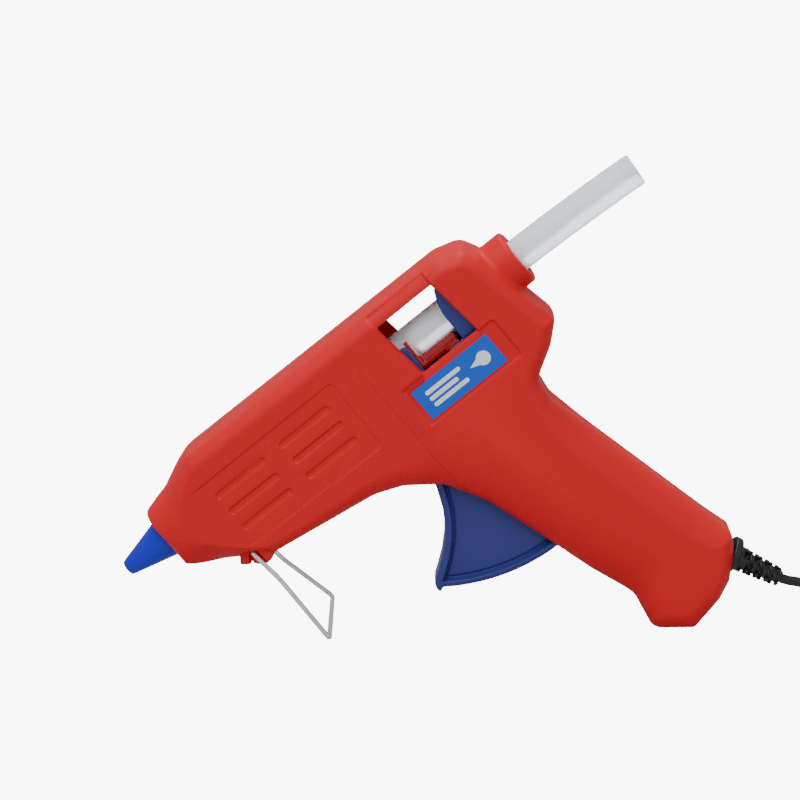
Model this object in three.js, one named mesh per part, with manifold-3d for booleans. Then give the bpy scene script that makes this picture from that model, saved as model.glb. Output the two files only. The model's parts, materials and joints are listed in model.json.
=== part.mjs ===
// Hot glue gun standing on its wire stand and the end of its handle, millimetres, +Z up.
// The floor is z = 0, the nozzle points towards -X and the left side of the gun is at -Y.
// Almost everything is laid out in the barrel's own frame, (s, y, t): s runs back along the glue
// stick from the nozzle's tip, t stands square to it, and the barrel group tilts that frame.
import * as THREE from "three";
import { mergeVertices } from "three/addons/utils/BufferGeometryUtils.js";
import Module from "manifold-3d";

const wasm = await Module();
wasm.setup();

// ---------------------------------------------------------------- driving dimensions
const BARREL_TILT = 39.7; // degrees above the floor
const TIP_X = -101.6; // the nozzle tip's place on the floor plan
const TIP_HEIGHT = 18.5;
const GAP = 0.3; // clearance between pieces that touch
const RUN = 0.6; // clearance around pieces that move

const HALF_WIDTH = 13.5; // each housing shell, from the parting plane
const WALL = 2;
const INNER = HALF_WIDTH - WALL;
const BARREL_EDGE = 3.6; // rounding along the barrel's side faces
const HANDLE_EDGE = 8.5;

const NOSE_S = 18.4; // front of the housing
const NOSE_R = 11.6;
const NOSE_BORE = 7.6;
const TOP_FRONT = 19.4; // height of the barrel's top over the stick, at the nose and at the rear
const TOP_REAR = 18.5;
const REAR_TOP_S = 161.6;
const REAR_LOW_S = 167.6;
const COLLAR_S = 170.6; // end of the collar that the stick enters by
const COLLAR_R = 9.8;

const STICK_R = 5.6;
const STICK_FRONT = 62;
const STICK_END = 218.3;
const STICK_SAG = 2.05; // droop of the stick's free end
const STICK_BORE = STICK_R + 0.7;

const WINDOW = { front: 120.9, rear: 144.6, low: -8.6, high: 12.8, lean: 2.4 };
const POCKET_DEPTH = 0.8;
const LABEL = { front: 115.8, rear: 147.4, low: -22.6, high: -10.9, thick: 0.4 };
const SLOT = { length: 21, width: 2.2, pitch: 6.9, depth: 0.5, high: 2.4 };
const SLOT_GROUPS = [43.1, 71];

const PIVOT = [119.3, -18]; // trigger pivot
const PIVOT_PIN_R = 2;
const CRANK = 18; // from the trigger pivot up to the stick's axis
const CRANK_LEAN = 8; // degrees to the rear at rest
const CRANK_PIN_R = 1.5;
const TRIGGER_REACH = 67.8; // radius of the trigger's lower edge about the pivot
const TRIGGER_HALF = 6; // half its width
const TRIGGER_RIM = 2.6;
const TRIGGER_WEB = 3.6; // half the thickness inside the rim
const HUB_R = 5;

const CRADLE = { front: 116.5, rear: 138.6, low: -8.6, rail: -4.8, ear: 2.4, rear_of_ear: 125 };
const CRADLE_HALF = STICK_BORE + 1.3;
const ARM_INNER = CRADLE_HALF + RUN; // fork arms and gripper cheeks, from the parting plane
const ARM_OUTER = ARM_INNER + 2;
const GRIP_PIVOT = [136, -10.6];
const GRIP_PIN_R = 1;

const STAND_PIVOT = [39, -20.4];
const WIRE_R = 0.85;
const STAND_HALF_TOP = 10.2; // wire legs at the lug
const STAND_HALF_FOOT = 20.2;
const STAND_BEND = 13; // leg length down to where it flares
const STAND_ANGLE = 46; // degrees below the horizontal, to the rear
const LUG_R = 5.4;

const CHAMBER = { front: 28, rear: 90, radius: 9, bore: STICK_R + 0.5 };
const HEATER = { front: 44, rear: 72, half: 5, top: -9.6, block: 7.5 };
const SLEEVE = { front: 81, rear: 104, radius: 10 };

const FOOT_FRONT_X = 78.2; // the flat on the handle's end that rests on the floor
const FOOT_REAR_X = 89.4;

const SCREW = { shank: 1.4, length: 15, head: 2.8, head_height: 2, boss: 3.1 };
const SCREW_PLACES = [
  [45, 14.6],
  [50, -21.6],
  [94, -29.5],
  [150, 13.4],
  [146, -62],
  [138.5, -124],
];

const RELIEF = { flange_r: 6.6, flange: 3, root: 3.5, tip: 2.5, ribs: 4 };
const CORD_R = 1.7;
const COIL = { x: 170, y: 6, mean: 20, half_width: 5.7, low: 1.4, high: 14 };
const PLUG = { x: 202, y: -7.5, length: 35, half: 6.8, width: 17.6, pin_r: 2, pin_length: 19, pitch: 18.6 };

// ---------------------------------------------------------------- colours
const plastic = (color) => new THREE.MeshStandardMaterial({ color, roughness: 0.5, metalness: 0 });
const metal = (color) => new THREE.MeshStandardMaterial({ color, roughness: 0.3, metalness: 1 });
const RED = plastic(0xcd3234);
const DARK_RED = plastic(0xa01217);
const BLUE = plastic(0x3c488a);
const NAVY = plastic(0x1f2f7d);
const SILICONE_BLUE = plastic(0x1b35be);
const SILICONE_RED = plastic(0xb5503c);
const GLUE = plastic(0xcbd3d8);
const LABEL_BLUE = plastic(0x2271c8);
const BLACK = plastic(0x151618);
const CERAMIC = plastic(0xd8d4c8);
const BROWN = plastic(0x5a3420);
const STEEL = metal(0xb8babd);
const ALUMINIUM = metal(0xa9acb0);
const BRASS = metal(0xc59b4e);

// ---------------------------------------------------------------- geometry helpers
const rad = THREE.MathUtils.degToRad;

function solidOf(geometry) {
  const loose = geometry.index ? geometry.toNonIndexed() : geometry.clone();
  loose.deleteAttribute("normal");
  loose.deleteAttribute("uv");
  const merged = mergeVertices(loose, 1e-4);
  return new wasm.Manifold(
    new wasm.Mesh({
      numProp: 3,
      vertProperties: merged.attributes.position.array,
      triVerts: new Uint32Array(merged.index.array),
    }),
  );
}

function geometryOf(solid) {
  const mesh = solid.getMesh();
  const geometry = new THREE.BufferGeometry();
  geometry.setAttribute("position", new THREE.BufferAttribute(mesh.vertProperties, 3));
  geometry.setIndex(new THREE.BufferAttribute(mesh.triVerts, 1));
  geometry.computeVertexNormals();
  return geometry;
}

const join = (...solids) => solids.reduce((all, next) => all.add(next));
const cut = (solid, ...tools) => tools.reduce((left, tool) => left.subtract(tool), solid);

// A box from its ranges along s (or x), y and t (or z).
function block([s0, s1], [y0, y1], [t0, t1]) {
  const box = new THREE.BoxGeometry(s1 - s0, y1 - y0, t1 - t0);
  return solidOf(box.translate((s0 + s1) / 2, (y0 + y1) / 2, (t0 + t1) / 2));
}

// A round bar across the gun.
function crossBar(radius, [y0, y1], [s, t], sides = 16) {
  const bar = new THREE.CylinderGeometry(radius, radius, y1 - y0, sides);
  return solidOf(bar.translate(s, (y0 + y1) / 2, t));
}

// A turned piece along s. The profile lists [radius, s] round a closed loop.
function turned(profile, sides = 28) {
  const points = profile.map(([r, s]) => new THREE.Vector2(r, s));
  if (THREE.ShapeUtils.area(points) < 0) points.reverse();
  points.push(points[0].clone());
  return solidOf(new THREE.LatheGeometry(points, sides).rotateZ(-Math.PI / 2));
}

const tube = (inner, outer, front, rear, sides) =>
  turned([[inner, front], [outer, front], [outer, rear], [inner, rear]], sides);

const rod = (radius, front, rear, sides) =>
  turned([[0, front], [radius, front], [radius, rear], [0, rear]], sides);

// A loop of points round an outline given by its corners, [s, t, fillet radius], drawn in by an
// inset. Every inset of one outline has the same number of points.
const FILLET_STEPS = 3;
function loop(corners, inset = 0) {
  const points = corners.map(([s, t]) => new THREE.Vector2(s, t));
  const sides = points.map((p, i) => points[(i + 1) % points.length].clone().sub(p).normalize());
  const ring = [];
  points.forEach((p, i) => {
    const [before, after] = [sides.at(i - 1), sides[i]];
    const turn = before.angleTo(after) * Math.sign(before.cross(after));
    const shift = inset * Math.tan(turn / 2);
    const corner = p.clone().addScaledVector(before, -shift);
    corner.add(new THREE.Vector2(-before.y, before.x).multiplyScalar(inset));
    const radius = corners[i][2] || 0;
    if (radius === 0) {
      ring.push(corner);
      return;
    }
    const fillet = turn > 0 ? Math.max(radius - inset, 0.3) : radius + inset;
    const reach = fillet * Math.tan(Math.abs(turn) / 2);
    const curve = new THREE.QuadraticBezierCurve(
      corner.clone().addScaledVector(before, -reach),
      corner,
      corner.clone().addScaledVector(after, reach),
    );
    ring.push(...curve.getPoints(FILLET_STEPS));
  });
  return ring;
}

// Skins rings of equal length, each at its own y, and closes both ends.
function loft(rings) {
  const count = rings[0].points.length;
  const position = rings.flatMap(({ y, points }) => points.flatMap((p) => [p.x, y, p.y]));
  const faces = [];
  for (let r = 0; r + 1 < rings.length; r++)
    for (let i = 0; i < count; i++) {
      const [a, b] = [r * count + i, r * count + ((i + 1) % count)];
      faces.push(a, a + count, b, b, a + count, b + count);
    }
  const last = (rings.length - 1) * count;
  for (const [a, b, c] of THREE.ShapeUtils.triangulateShape(rings[0].points, [])) faces.push(a, b, c);
  for (const [a, b, c] of THREE.ShapeUtils.triangulateShape(rings.at(-1).points, []))
    faces.push(last + a, last + c, last + b);
  const geometry = new THREE.BufferGeometry();
  geometry.setAttribute("position", new THREE.Float32BufferAttribute(position, 3));
  return geometry.setIndex(faces);
}

// An outline carried across the gun. Its two side edges can be rounded, and an inset turns an
// outer form into the hollow inside it.
function slab(corners, [y0, y1], { edge = 0, inset = 0, rounds = 2 } = {}) {
  const upright = THREE.ShapeUtils.area(corners.map(([x, y]) => ({ x, y }))) > 0;
  const ordered = upright ? corners : corners.slice().reverse();
  const rings = [];
  const steps = edge > 0 ? rounds : 0;
  for (let i = 0; i <= steps; i++) {
    const a = steps ? (i / steps) * (Math.PI / 2) : Math.PI / 2;
    const drawn = inset + edge * (1 - Math.sin(a));
    rings.push({ deep: edge * (1 - Math.cos(a)), points: loop(ordered, drawn) });
  }
  const front = rings.map(({ deep, points }) => ({ y: y0 + deep, points }));
  const rear = rings.map(({ deep, points }) => ({ y: y1 - deep, points })).reverse();
  return solidOf(loft([...front, ...rear]));
}

function sweep(points, radius, sides, steps) {
  const section = new THREE.Shape();
  for (let i = 0; i < sides; i++) {
    const a = (i / sides) * 2 * Math.PI;
    if (i === 0) section.moveTo(radius, 0);
    else section.lineTo(radius * Math.cos(a), radius * Math.sin(a));
  }
  section.closePath();
  const path = new THREE.CatmullRomCurve3(points.map((p) => new THREE.Vector3(...p)));
  return solidOf(new THREE.ExtrudeGeometry(section, { steps, extrudePath: path, bevelEnabled: false }));
}

const around = ([s, t], radius, degrees) =>
  [s + radius * Math.cos(rad(degrees)), t + radius * Math.sin(rad(degrees))];

// A point of the floor frame (x, z) in the barrel's frame (s, t).
function inBarrel(x, z) {
  const [dx, dz] = [x - TIP_X, z - TIP_HEIGHT];
  const [c, s] = [Math.cos(rad(BARREL_TILT)), Math.sin(rad(BARREL_TILT))];
  return [dx * c + dz * s, dz * c - dx * s];
}

// ---------------------------------------------------------------- scene graph
const gun = new THREE.Group();
const barrel = new THREE.Group();
barrel.position.set(TIP_X, 0, TIP_HEIGHT);
barrel.rotation.y = -rad(BARREL_TILT);
gun.add(barrel);

function place(group, name, solid, material) {
  const mesh = new THREE.Mesh(geometryOf(solid), material);
  mesh.name = name;
  group.add(mesh);
}

// ---------------------------------------------------------------- housing
function barrelOutline() {
  return [
    [NOSE_S, NOSE_R - 0.6, 1],
    [NOSE_S + 4.6, NOSE_R + 2, 2],
    [42.4, TOP_FRONT, 6],
    [REAR_TOP_S - 6, TOP_REAR, 8],
    [REAR_TOP_S, 9, 7],
    [REAR_LOW_S, -24.5, 4],
    [153, -33.4, 6],
    [148.8, -50, 0],
    [112, -50, 0],
    [104.2, -45.2, 3],
    [91.5, -34.8, 8],
    [83.5, -31.4, 6],
    [41.5, -24.7, 3],
    [NOSE_S + 3.4, -NOSE_R - 1.4, 2],
    [NOSE_S, -NOSE_R + 1.6, 1],
  ];
}

function handleOutline() {
  return [
    [144, -32, 0],
    [149.8, -45, 8],
    [166, -121.4, 3.5],
    [153, -134.2, 6],
    [...inBarrel(FOOT_REAR_X + 1.6, 0), 3],
    [...inBarrel(FOOT_FRONT_X - 1.4, 0), 5],
    [128, -114.6, 6],
    [122.6, -100, 12],
    [116.6, -78, 10],
    [110.6, -57.6, 10],
    [101.5, -43, 0],
    [112, -27, 0],
  ];
}

// The nose is turned down from the barrel's box section to a round rim.
function noseEnvelope(wall) {
  return turned(
    [
      [0, NOSE_S + wall - 1],
      [NOSE_R - wall, NOSE_S + wall - 1],
      [NOSE_R - wall, NOSE_S + wall],
      [NOSE_R + 3.2 - wall, NOSE_S + 11],
      [NOSE_R + 12 - wall, NOSE_S + 26],
      [240, NOSE_S + 30],
      [240, REAR_LOW_S + 20],
      [0, REAR_LOW_S + 20],
    ],
    24,
  );
}

function housingForm() {
  const span = [-HALF_WIDTH, HALF_WIDTH];
  const body = slab(barrelOutline(), span, { edge: BARREL_EDGE });
  const handle = slab(handleOutline(), span, { edge: HANDLE_EDGE, rounds: 3 });
  const collar = turned([
    [0, REAR_TOP_S - 4],
    [COLLAR_R, REAR_TOP_S - 4],
    [COLLAR_R, COLLAR_S - 1.2],
    [COLLAR_R - 1.2, COLLAR_S],
    [0, COLLAR_S],
  ]);
  return join(body.intersect(noseEnvelope(0)), handle, collar, standLug());
}

// The wire's legs swing beside the lug under the nose. A lobe on each side, behind the leg, stops it.
function standLug() {
  const [s, t] = STAND_PIVOT;
  const cheek = STAND_HALF_TOP - WIRE_R - RUN;
  const body = crossBar(LUG_R, [-cheek, cheek], STAND_PIVOT, 20);
  const root = block([s - LUG_R, s + LUG_R], [-cheek, cheek], [t, t + 6]);
  const lobe = crossBar(LUG_R, [-INNER, INNER], STAND_PIVOT, 20);
  const behind = block([s + WIRE_R + 1, s + 20], [-20, 20], [t - 20, t + 4]);
  return join(body, root, lobe.intersect(behind));
}

function hollow() {
  const span = [-INNER, INNER];
  const body = slab(barrelOutline(), span, { edge: 2.4, inset: WALL, rounds: 1 });
  const handle = slab(handleOutline(), span, { edge: 6, inset: WALL, rounds: 2 });
  return join(body.intersect(noseEnvelope(WALL)), handle);
}

// The window leans back a little from top to bottom, as its pocket in the side face does.
function windowShape(low, high) {
  const { front, rear, lean } = WINDOW;
  const at = (t) => lean * (1 - (t - WINDOW.low) / (WINDOW.high - WINDOW.low));
  return [
    [front + at(low), low],
    [rear + at(low), low],
    [rear + at(high), high],
    [front + at(high), high],
  ];
}

function sideFeatures(side) {
  const across = (from, to) => (side < 0 ? [-to, -from] : [from, to]);
  const floor = HALF_WIDTH - POCKET_DEPTH;
  const features = [
    slab(windowShape(WINDOW.low + 0.6, WINDOW.high), across(INNER - 4, 30)),
    slab(windowShape(WINDOW.low, TOP_REAR + 3), across(floor, 30)),
  ];
  for (const start of SLOT_GROUPS)
    for (let i = 0; i < 3; i++) {
      const mid = SLOT.high - i * SLOT.pitch;
      const reach = [mid - SLOT.width / 2, mid + SLOT.width / 2];
      features.push(block([start, start + SLOT.length], across(HALF_WIDTH - SLOT.depth, 30), reach));
    }
  return features;
}

function bores() {
  return [
    rod(NOSE_BORE, NOSE_S - 5, NOSE_S + WALL + 1),
    rod(STICK_BORE, REAR_TOP_S - 12, COLLAR_S + 5),
    crossBar(WIRE_R + GAP, [-20, 20], STAND_PIVOT, 12),
    crossBar(PIVOT_PIN_R + GAP, [-INNER - 1, INNER + 1], PIVOT, 16),
    triggerMouth(),
    reliefHole(),
  ];
}

// The mouth in the front of the handle that the trigger swings through.
function triggerMouth() {
  const half = TRIGGER_HALF + RUN;
  return slab(
    [[99, -37.5], [113, -37.5], [123, -60], [127, -88.5], [112, -88.5], [95, -60]],
    [-half, half],
  );
}

// The cord's strain relief leaves through the handle's end face, level with the floor.
const RELIEF_FROM = [98.5, 24];
function reliefHole() {
  const hole = new THREE.CylinderGeometry(RELIEF.root + RUN, RELIEF.root + RUN, 16, 16);
  hole.rotateZ(Math.PI / 2).translate(RELIEF_FROM[0] + 6, 0, RELIEF_FROM[1]);
  return solidOf(intoBarrel(hole));
}

// Geometry given in the floor frame, moved into the barrel's frame.
function intoBarrel(geometry) {
  return geometry.translate(-TIP_X, 0, -TIP_HEIGHT).rotateY(rad(BARREL_TILT));
}

function bossSpan(side) {
  return side < 0 ? [-INNER - 0.5, -GAP / 2] : [GAP / 2, INNER + 0.5];
}

function buildHousing() {
  const form = housingForm();
  const shell = cut(form, hollow());
  for (const [name, side] of [["housing_left", -1], ["housing_right", 1]]) {
    const half = side < 0 ? [-60, -GAP / 2] : [GAP / 2, 60];
    let solid = shell.intersect(block([-10, 260], half, [-200, 60]));
    for (const spot of SCREW_PLACES)
      solid = solid.add(crossBar(SCREW.boss, bossSpan(side), spot, 10).intersect(form));
    solid = cut(solid, ...bores(), ...sideFeatures(side));
    for (const spot of SCREW_PLACES) solid = cut(solid, screwHole(side, spot));
    if (side > 0) solid = clampPosts(solid);
    if (side < 0) solid = cut(solid, labelRecess());
    place(barrel, name, solid, RED);
  }
}

function screwHole(side, spot) {
  const shank = SCREW.shank + GAP;
  if (side < 0) return crossBar(shank, [SCREW_HEAD_Y - SCREW.length - 0.6, 1], spot, 8);
  const head = crossBar(SCREW.head + GAP, [SCREW_HEAD_Y - GAP, 30], spot, 12);
  return head.add(crossBar(shank, [-1, 20], spot, 8));
}

const SCREW_HEAD_Y = INNER - 5.5; // underside of the screw heads, down their counterbores
function buildScrews() {
  SCREW_PLACES.forEach((spot, i) => {
    const head = crossBar(SCREW.head, [SCREW_HEAD_Y, SCREW_HEAD_Y + SCREW.head_height], spot, 12);
    const shank = crossBar(SCREW.shank, [SCREW_HEAD_Y - SCREW.length, SCREW_HEAD_Y + 1], spot, 8);
    place(barrel, `housing_screw_${i + 1}`, head.add(shank), STEEL);
  });
}

const LABEL_FLOOR = HALF_WIDTH - LABEL.thick - GAP;
function labelRecess() {
  const { front, rear, low, high } = LABEL;
  return block([front - 1.4, rear + 4.6], [-30, -LABEL_FLOOR], [low - 1.2, high + 1.6]);
}

function buildLabel() {
  const { front, rear, low, high, thick } = LABEL;
  const y = -LABEL_FLOOR - GAP;
  place(barrel, "label_plate", block([front, rear], [y - thick, y], [low, high]), LABEL_BLUE);
}

// ---------------------------------------------------------------- nozzle and melting chamber
function buildNozzle() {
  place(
    barrel,
    "nozzle_sleeve",
    turned([
      [1.9, 0],
      [2.4, 0],
      [2.75, 0.5],
      [7, 17.6],
      [7, NOSE_S + WALL + GAP],
      [8.8, NOSE_S + WALL + GAP],
      [8.8, NOSE_S + WALL + 1.8],
      [5.9, NOSE_S + WALL + 1.8],
      [5.9, 17.8],
      [2, 1.6],
    ]),
    SILICONE_BLUE,
  );
  place(
    barrel,
    "nozzle",
    turned([
      [0.9, 0.7],
      [1.5, 0.7],
      [5.4, 18],
      [5.4, 23.4],
      [7.4, 23.4],
      [7.4, CHAMBER.front - GAP],
      [4.2, CHAMBER.front - GAP],
      [4.2, CHAMBER.front + 7],
      [2.6, CHAMBER.front + 7],
      [2.6, 16],
      [0.9, 6],
    ]),
    BRASS,
  );
}

function buildChamber() {
  const { front, rear, radius, bore } = CHAMBER;
  const body = turned([
    [4.2 + GAP, front],
    [radius, front],
    [radius, SLEEVE.front - 1],
    [radius - 1, SLEEVE.front - 1],
    [radius - 1, rear],
    [bore, rear],
    [bore, 44],
    [4.2 + GAP, 38],
  ]);
  const saddle = block(
    [HEATER.front - 2, HEATER.rear + 2],
    [-HEATER.block, HEATER.block],
    [HEATER.top - 7.4, -5],
  );
  const core = rod(bore + 0.4, HEATER.front - 6, HEATER.rear + 6);
  const pocket = block([HEATER.front - 5, HEATER.rear + 5], [-5.6, 5.6], [HEATER.top - 5.7, HEATER.top]);
  place(barrel, "melting_chamber", cut(join(body, cut(saddle, core)), pocket), ALUMINIUM);
}

// The heater is a stack in the chamber's pocket: film, contact, ceramic, contact, film.
function buildHeater() {
  const { front, rear, half, top } = HEATER;
  const stack = [
    ["heater_film_upper", 0.5, 0, BROWN],
    ["heater_contact_upper", 0.4, 4, BRASS],
    ["ptc_heater", 2, 0, CERAMIC],
    ["heater_contact_lower", 0.4, 4, BRASS],
    ["heater_film_lower", 0.5, 0, BROWN],
  ];
  let t = top - GAP;
  for (const [name, thick, tab, material] of stack) {
    place(barrel, name, block([front, rear + tab], [-half, half], [t - thick, t]), material);
    t -= thick + GAP;
  }
}

function buildChamberMounts() {
  for (const [name, s] of [["chamber_bracket_front", 39], ["chamber_bracket_rear", 77.4]]) {
    const plate = block([s, s + 1.4], [-INNER + GAP + 0.9, INNER - GAP - 0.9], [-10.4, 12.6]);
    place(barrel, name, cut(plate, rod(CHAMBER.radius + GAP, s - 1, s + 3)), STEEL);
  }
  const { front, rear, radius } = SLEEVE;
  place(
    barrel,
    "guide_sleeve",
    turned([
      [CHAMBER.radius - 1 + GAP, front],
      [radius, front],
      [radius, CHAMBER.rear + 2],
      [8, CHAMBER.rear + 6],
      [8, rear],
      [STICK_BORE, rear],
      [STICK_BORE, CHAMBER.rear + GAP],
      [CHAMBER.radius - 1 + GAP, CHAMBER.rear + GAP],
    ]),
    SILICONE_RED,
  );
  place(barrel, "sleeve_clamp", tube(radius + GAP, radius + 1.1, front + 3, front + 6.5, 24), STEEL);
}

// ---------------------------------------------------------------- feed mechanism
function buildCradle() {
  const { front, rear, low, rail, ear, rear_of_ear } = CRADLE;
  const half = [-CRADLE_HALF, CRADLE_HALF];
  const ears = block([front, rear_of_ear], half, [low, ear]);
  const trough = block([front, rear], [-5.6, 5.6], [low, rail]);
  const foot = block([GRIP_PIVOT[0] - 2.6, rear], half, [GRIP_PIVOT[1] - 2.4, low + 0.6]);
  const crank = around(PIVOT, CRANK, 90 - CRANK_LEAN);
  const slot = block(
    [crank[0] - CRANK_PIN_R - GAP, crank[0] + CRANK_PIN_R + GAP],
    [-20, 20],
    [crank[1] - CRANK_PIN_R - 1, ear + 3],
  );
  const solid = cut(
    join(ears, trough, foot),
    rod(STICK_BORE, front - 5, rear + 5),
    slot,
    crossBar(GRIP_PIN_R + GAP, [-20, 20], GRIP_PIVOT, 10),
  );
  place(barrel, "feed_cradle", solid, DARK_RED);
}

// The gripper straddles the stick. Its toothed bar bites when the cheeks tip forward.
function buildGripper() {
  const { rear } = CRADLE;
  const [, low] = GRIP_PIVOT;
  const cheek = [
    [GRIP_PIVOT[0] - 2.6, low - 2.6, 2],
    [rear + 7.4, low - 2.6, 2],
    [rear + 8, 9, 2],
    [rear + 4.9, 11, 1],
    [rear + 2, 3.2, 6],
    [rear + 1.6, -7.6, 1],
    [GRIP_PIVOT[0] - 2.6, low + 2.2, 2],
  ];
  const cheeks = [[-ARM_OUTER + 0.4, -ARM_INNER], [ARM_INNER, ARM_OUTER - 0.4]].map((span) => slab(cheek, span));
  const bar = block([rear + 2.4, rear + 5], [-ARM_INNER - 0.8, ARM_INNER + 0.8], [low - 1, -6.7]);
  const tooth = [[rear + 2.4, -7], [rear + 5, -7], [rear + 2.6, -STICK_R - 0.75]];
  const holes = crossBar(GRIP_PIN_R + GAP, [-20, 20], GRIP_PIVOT, 10);
  const solid = cut(join(...cheeks, bar, slab(tooth, [-4, 4])), holes, rod(STICK_R + 0.6, 100, 200));
  place(barrel, "stick_gripper", solid, NAVY);
  place(barrel, "gripper_pin", crossBar(GRIP_PIN_R, [-ARM_OUTER, ARM_OUTER], GRIP_PIVOT, 10), STEEL);
}

function buildSpring() {
  const [s0, s1, t] = [CRADLE.rear + 1, 157, -15.4];
  const turns = 9;
  const points = [];
  for (let i = 0; i <= turns * 8; i++) {
    const a = (i / 8) * 2 * Math.PI;
    points.push([s0 + ((s1 - s0) * i) / (turns * 8), 2.1 * Math.cos(a), t + 2.1 * Math.sin(a)]);
  }
  place(barrel, "return_spring", sweep(points, 0.3, 4, turns * 8), STEEL);
}

// ---------------------------------------------------------------- trigger
// The finger edge runs down to a blunt tip, then the lower edge follows an arc about the pivot.
function triggerEdge({ blunt }) {
  const finger = [
    [101.2, -40],
    [98.9, -46.1],
    [94.2, -55],
    [86.6, -63.3],
    [77.4, -69.6],
  ];
  if (blunt) finger.push([77.3, -73.2]);
  const [first, last, steps] = [-125, -86, 8];
  const reach = [];
  for (let i = 0; i <= steps; i++)
    reach.push(around(PIVOT, TRIGGER_REACH, first + ((last - first) * i) / steps));
  return [...finger, ...reach, [PIVOT[0] + HUB_R, PIVOT[1]], [PIVOT[0] - HUB_R, PIVOT[1]]];
}

function buildTrigger() {
  const plate = slab(triggerEdge({ blunt: true }), [-TRIGGER_HALF, TRIGGER_HALF]);
  const panels = [[-20, -TRIGGER_WEB], [TRIGGER_WEB, 20]].map((span) =>
    slab(triggerEdge({ blunt: false }), span, { inset: TRIGGER_RIM }),
  );
  const tip = around(PIVOT, CRANK, 90 - CRANK_LEAN);
  const arms = [-1, 1].flatMap((side) => {
    const span = side < 0 ? [-ARM_OUTER, -ARM_INNER] : [ARM_INNER, ARM_OUTER];
    const pin = side < 0 ? [-ARM_OUTER, -CRADLE_HALF + 1] : [CRADLE_HALF - 1, ARM_OUTER];
    const arm = [
      [PIVOT[0] - 4, PIVOT[1]],
      [PIVOT[0] + 4, PIVOT[1]],
      [tip[0] + 2.4, tip[1] + 2, 1.5],
      [tip[0] - 2.4, tip[1] + 2, 1.5],
    ];
    return [slab(arm, span), crossBar(CRANK_PIN_R, pin, tip, 12)];
  });
  const hub = crossBar(HUB_R, [-ARM_OUTER, ARM_OUTER], PIVOT, 20);
  const bore = crossBar(PIVOT_PIN_R + GAP, [-20, 20], PIVOT, 16);
  place(barrel, "trigger", cut(join(cut(plate, ...panels), ...arms, hub), bore), BLUE);
  place(barrel, "trigger_pin", crossBar(PIVOT_PIN_R, [-INNER - 0.7, INNER + 0.7], PIVOT, 16), STEEL);
}

// ---------------------------------------------------------------- stick
function buildStick() {
  const rise = (s) => -STICK_SAG * Math.max(0, (s - COLLAR_S) / (STICK_END - COLLAR_S)) ** 1.6;
  const stops = [STICK_FRONT, 110, COLLAR_S - 6, COLLAR_S, 182, 194, 206, STICK_END];
  const points = stops.map((s) => [s, 0, rise(s)]);
  place(barrel, "glue_stick", sweep(points, STICK_R, 20, 14), GLUE);
}

// ---------------------------------------------------------------- wire stand
function buildStand() {
  const direction = BARREL_TILT + STAND_ANGLE; // degrees below the stick's axis, to the rear
  const leg = (y, along) => {
    const [s, t] = around(STAND_PIVOT, along, -direction);
    return [s, y, t];
  };
  const [px, pz] = fromBarrel(STAND_PIVOT);
  const length = (pz - WIRE_R) / Math.sin(rad(STAND_ANGLE));
  const turn = 2.2;
  const side = [
    leg(2, 0),
    leg(STAND_HALF_TOP - turn, 0),
    leg(STAND_HALF_TOP - 0.3, 0.5),
    leg(STAND_HALF_TOP, turn),
    leg(STAND_HALF_TOP, STAND_BEND / 2),
    leg(STAND_HALF_TOP, STAND_BEND),
    leg((STAND_HALF_TOP + STAND_HALF_FOOT) / 2, (STAND_BEND + length) / 2),
    leg(STAND_HALF_FOOT - 0.6, length - turn),
    leg(STAND_HALF_FOOT - 0.6, length - 0.5),
    leg(STAND_HALF_FOOT - turn, length),
    leg(STAND_HALF_FOOT / 2, length),
  ];
  const other = side.map(([s, y, t]) => [s, -y, t]).reverse();
  place(barrel, "wire_stand", sweep([...side, leg(0, length), ...other], WIRE_R, 8, 64), STEEL);
}

function fromBarrel([s, t]) {
  const [c, n] = [Math.cos(rad(BARREL_TILT)), Math.sin(rad(BARREL_TILT))];
  return [TIP_X + s * c - t * n, TIP_HEIGHT + s * n + t * c];
}

// ---------------------------------------------------------------- wiring and cord
function buildWiring() {
  for (const [name, y, t] of [["lead_live", 3, -11.9], ["lead_neutral", -3, -14.7]]) {
    const side = Math.sign(y);
    const route = [
      [79.6, y, t],
      [84, side * 5, -15],
      [95, side * 8.6, -20],
      [110, side * 9, -28],
      [126, side * 9, -33],
      [133, side * 8.8, -52],
      [137.6, side * 8.6, -72],
      [138.6, side * 7.4, -82],
      [139.2, side * 3.6, -88.4],
    ];
    place(barrel, name, sweep(route, 0.8, 6, 30), side > 0 ? BROWN : NAVY);
    const crimp = new THREE.CylinderGeometry(1.6, 1.6, 9, 10).rotateX(Math.PI / 2);
    crimp.translate(139.2, side * 3.4, -93.4);
    place(barrel, `crimp_${name.slice(5)}`, solidOf(crimp), CERAMIC);
  }
  const inner = [[140, 0, -98.6], [141.4, 0, -105], [146.6, 0, -115], [153.5, 0, -121]];
  place(barrel, "cord_inner_end", sweep(inner, CORD_R, 8, 16), BLACK);
  buildClamp();
}

// A bar holds the cord against two posts moulded in the right shell.
const CLAMP_T = -104;
const CLAMP_POSTS = [136.6, 146.8];
const CLAMP_Y = -CORD_R - GAP; // the bar's face over the cord
function clampPosts(shell) {
  const posts = CLAMP_POSTS.map((s) => crossBar(2.4, [CLAMP_Y + GAP, INNER + 0.5], [s, CLAMP_T], 12));
  const holes = CLAMP_POSTS.map((s) => crossBar(1.1 + GAP, [-9, 8], [s, CLAMP_T], 8));
  return cut(join(shell, ...posts), ...holes);
}

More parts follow.
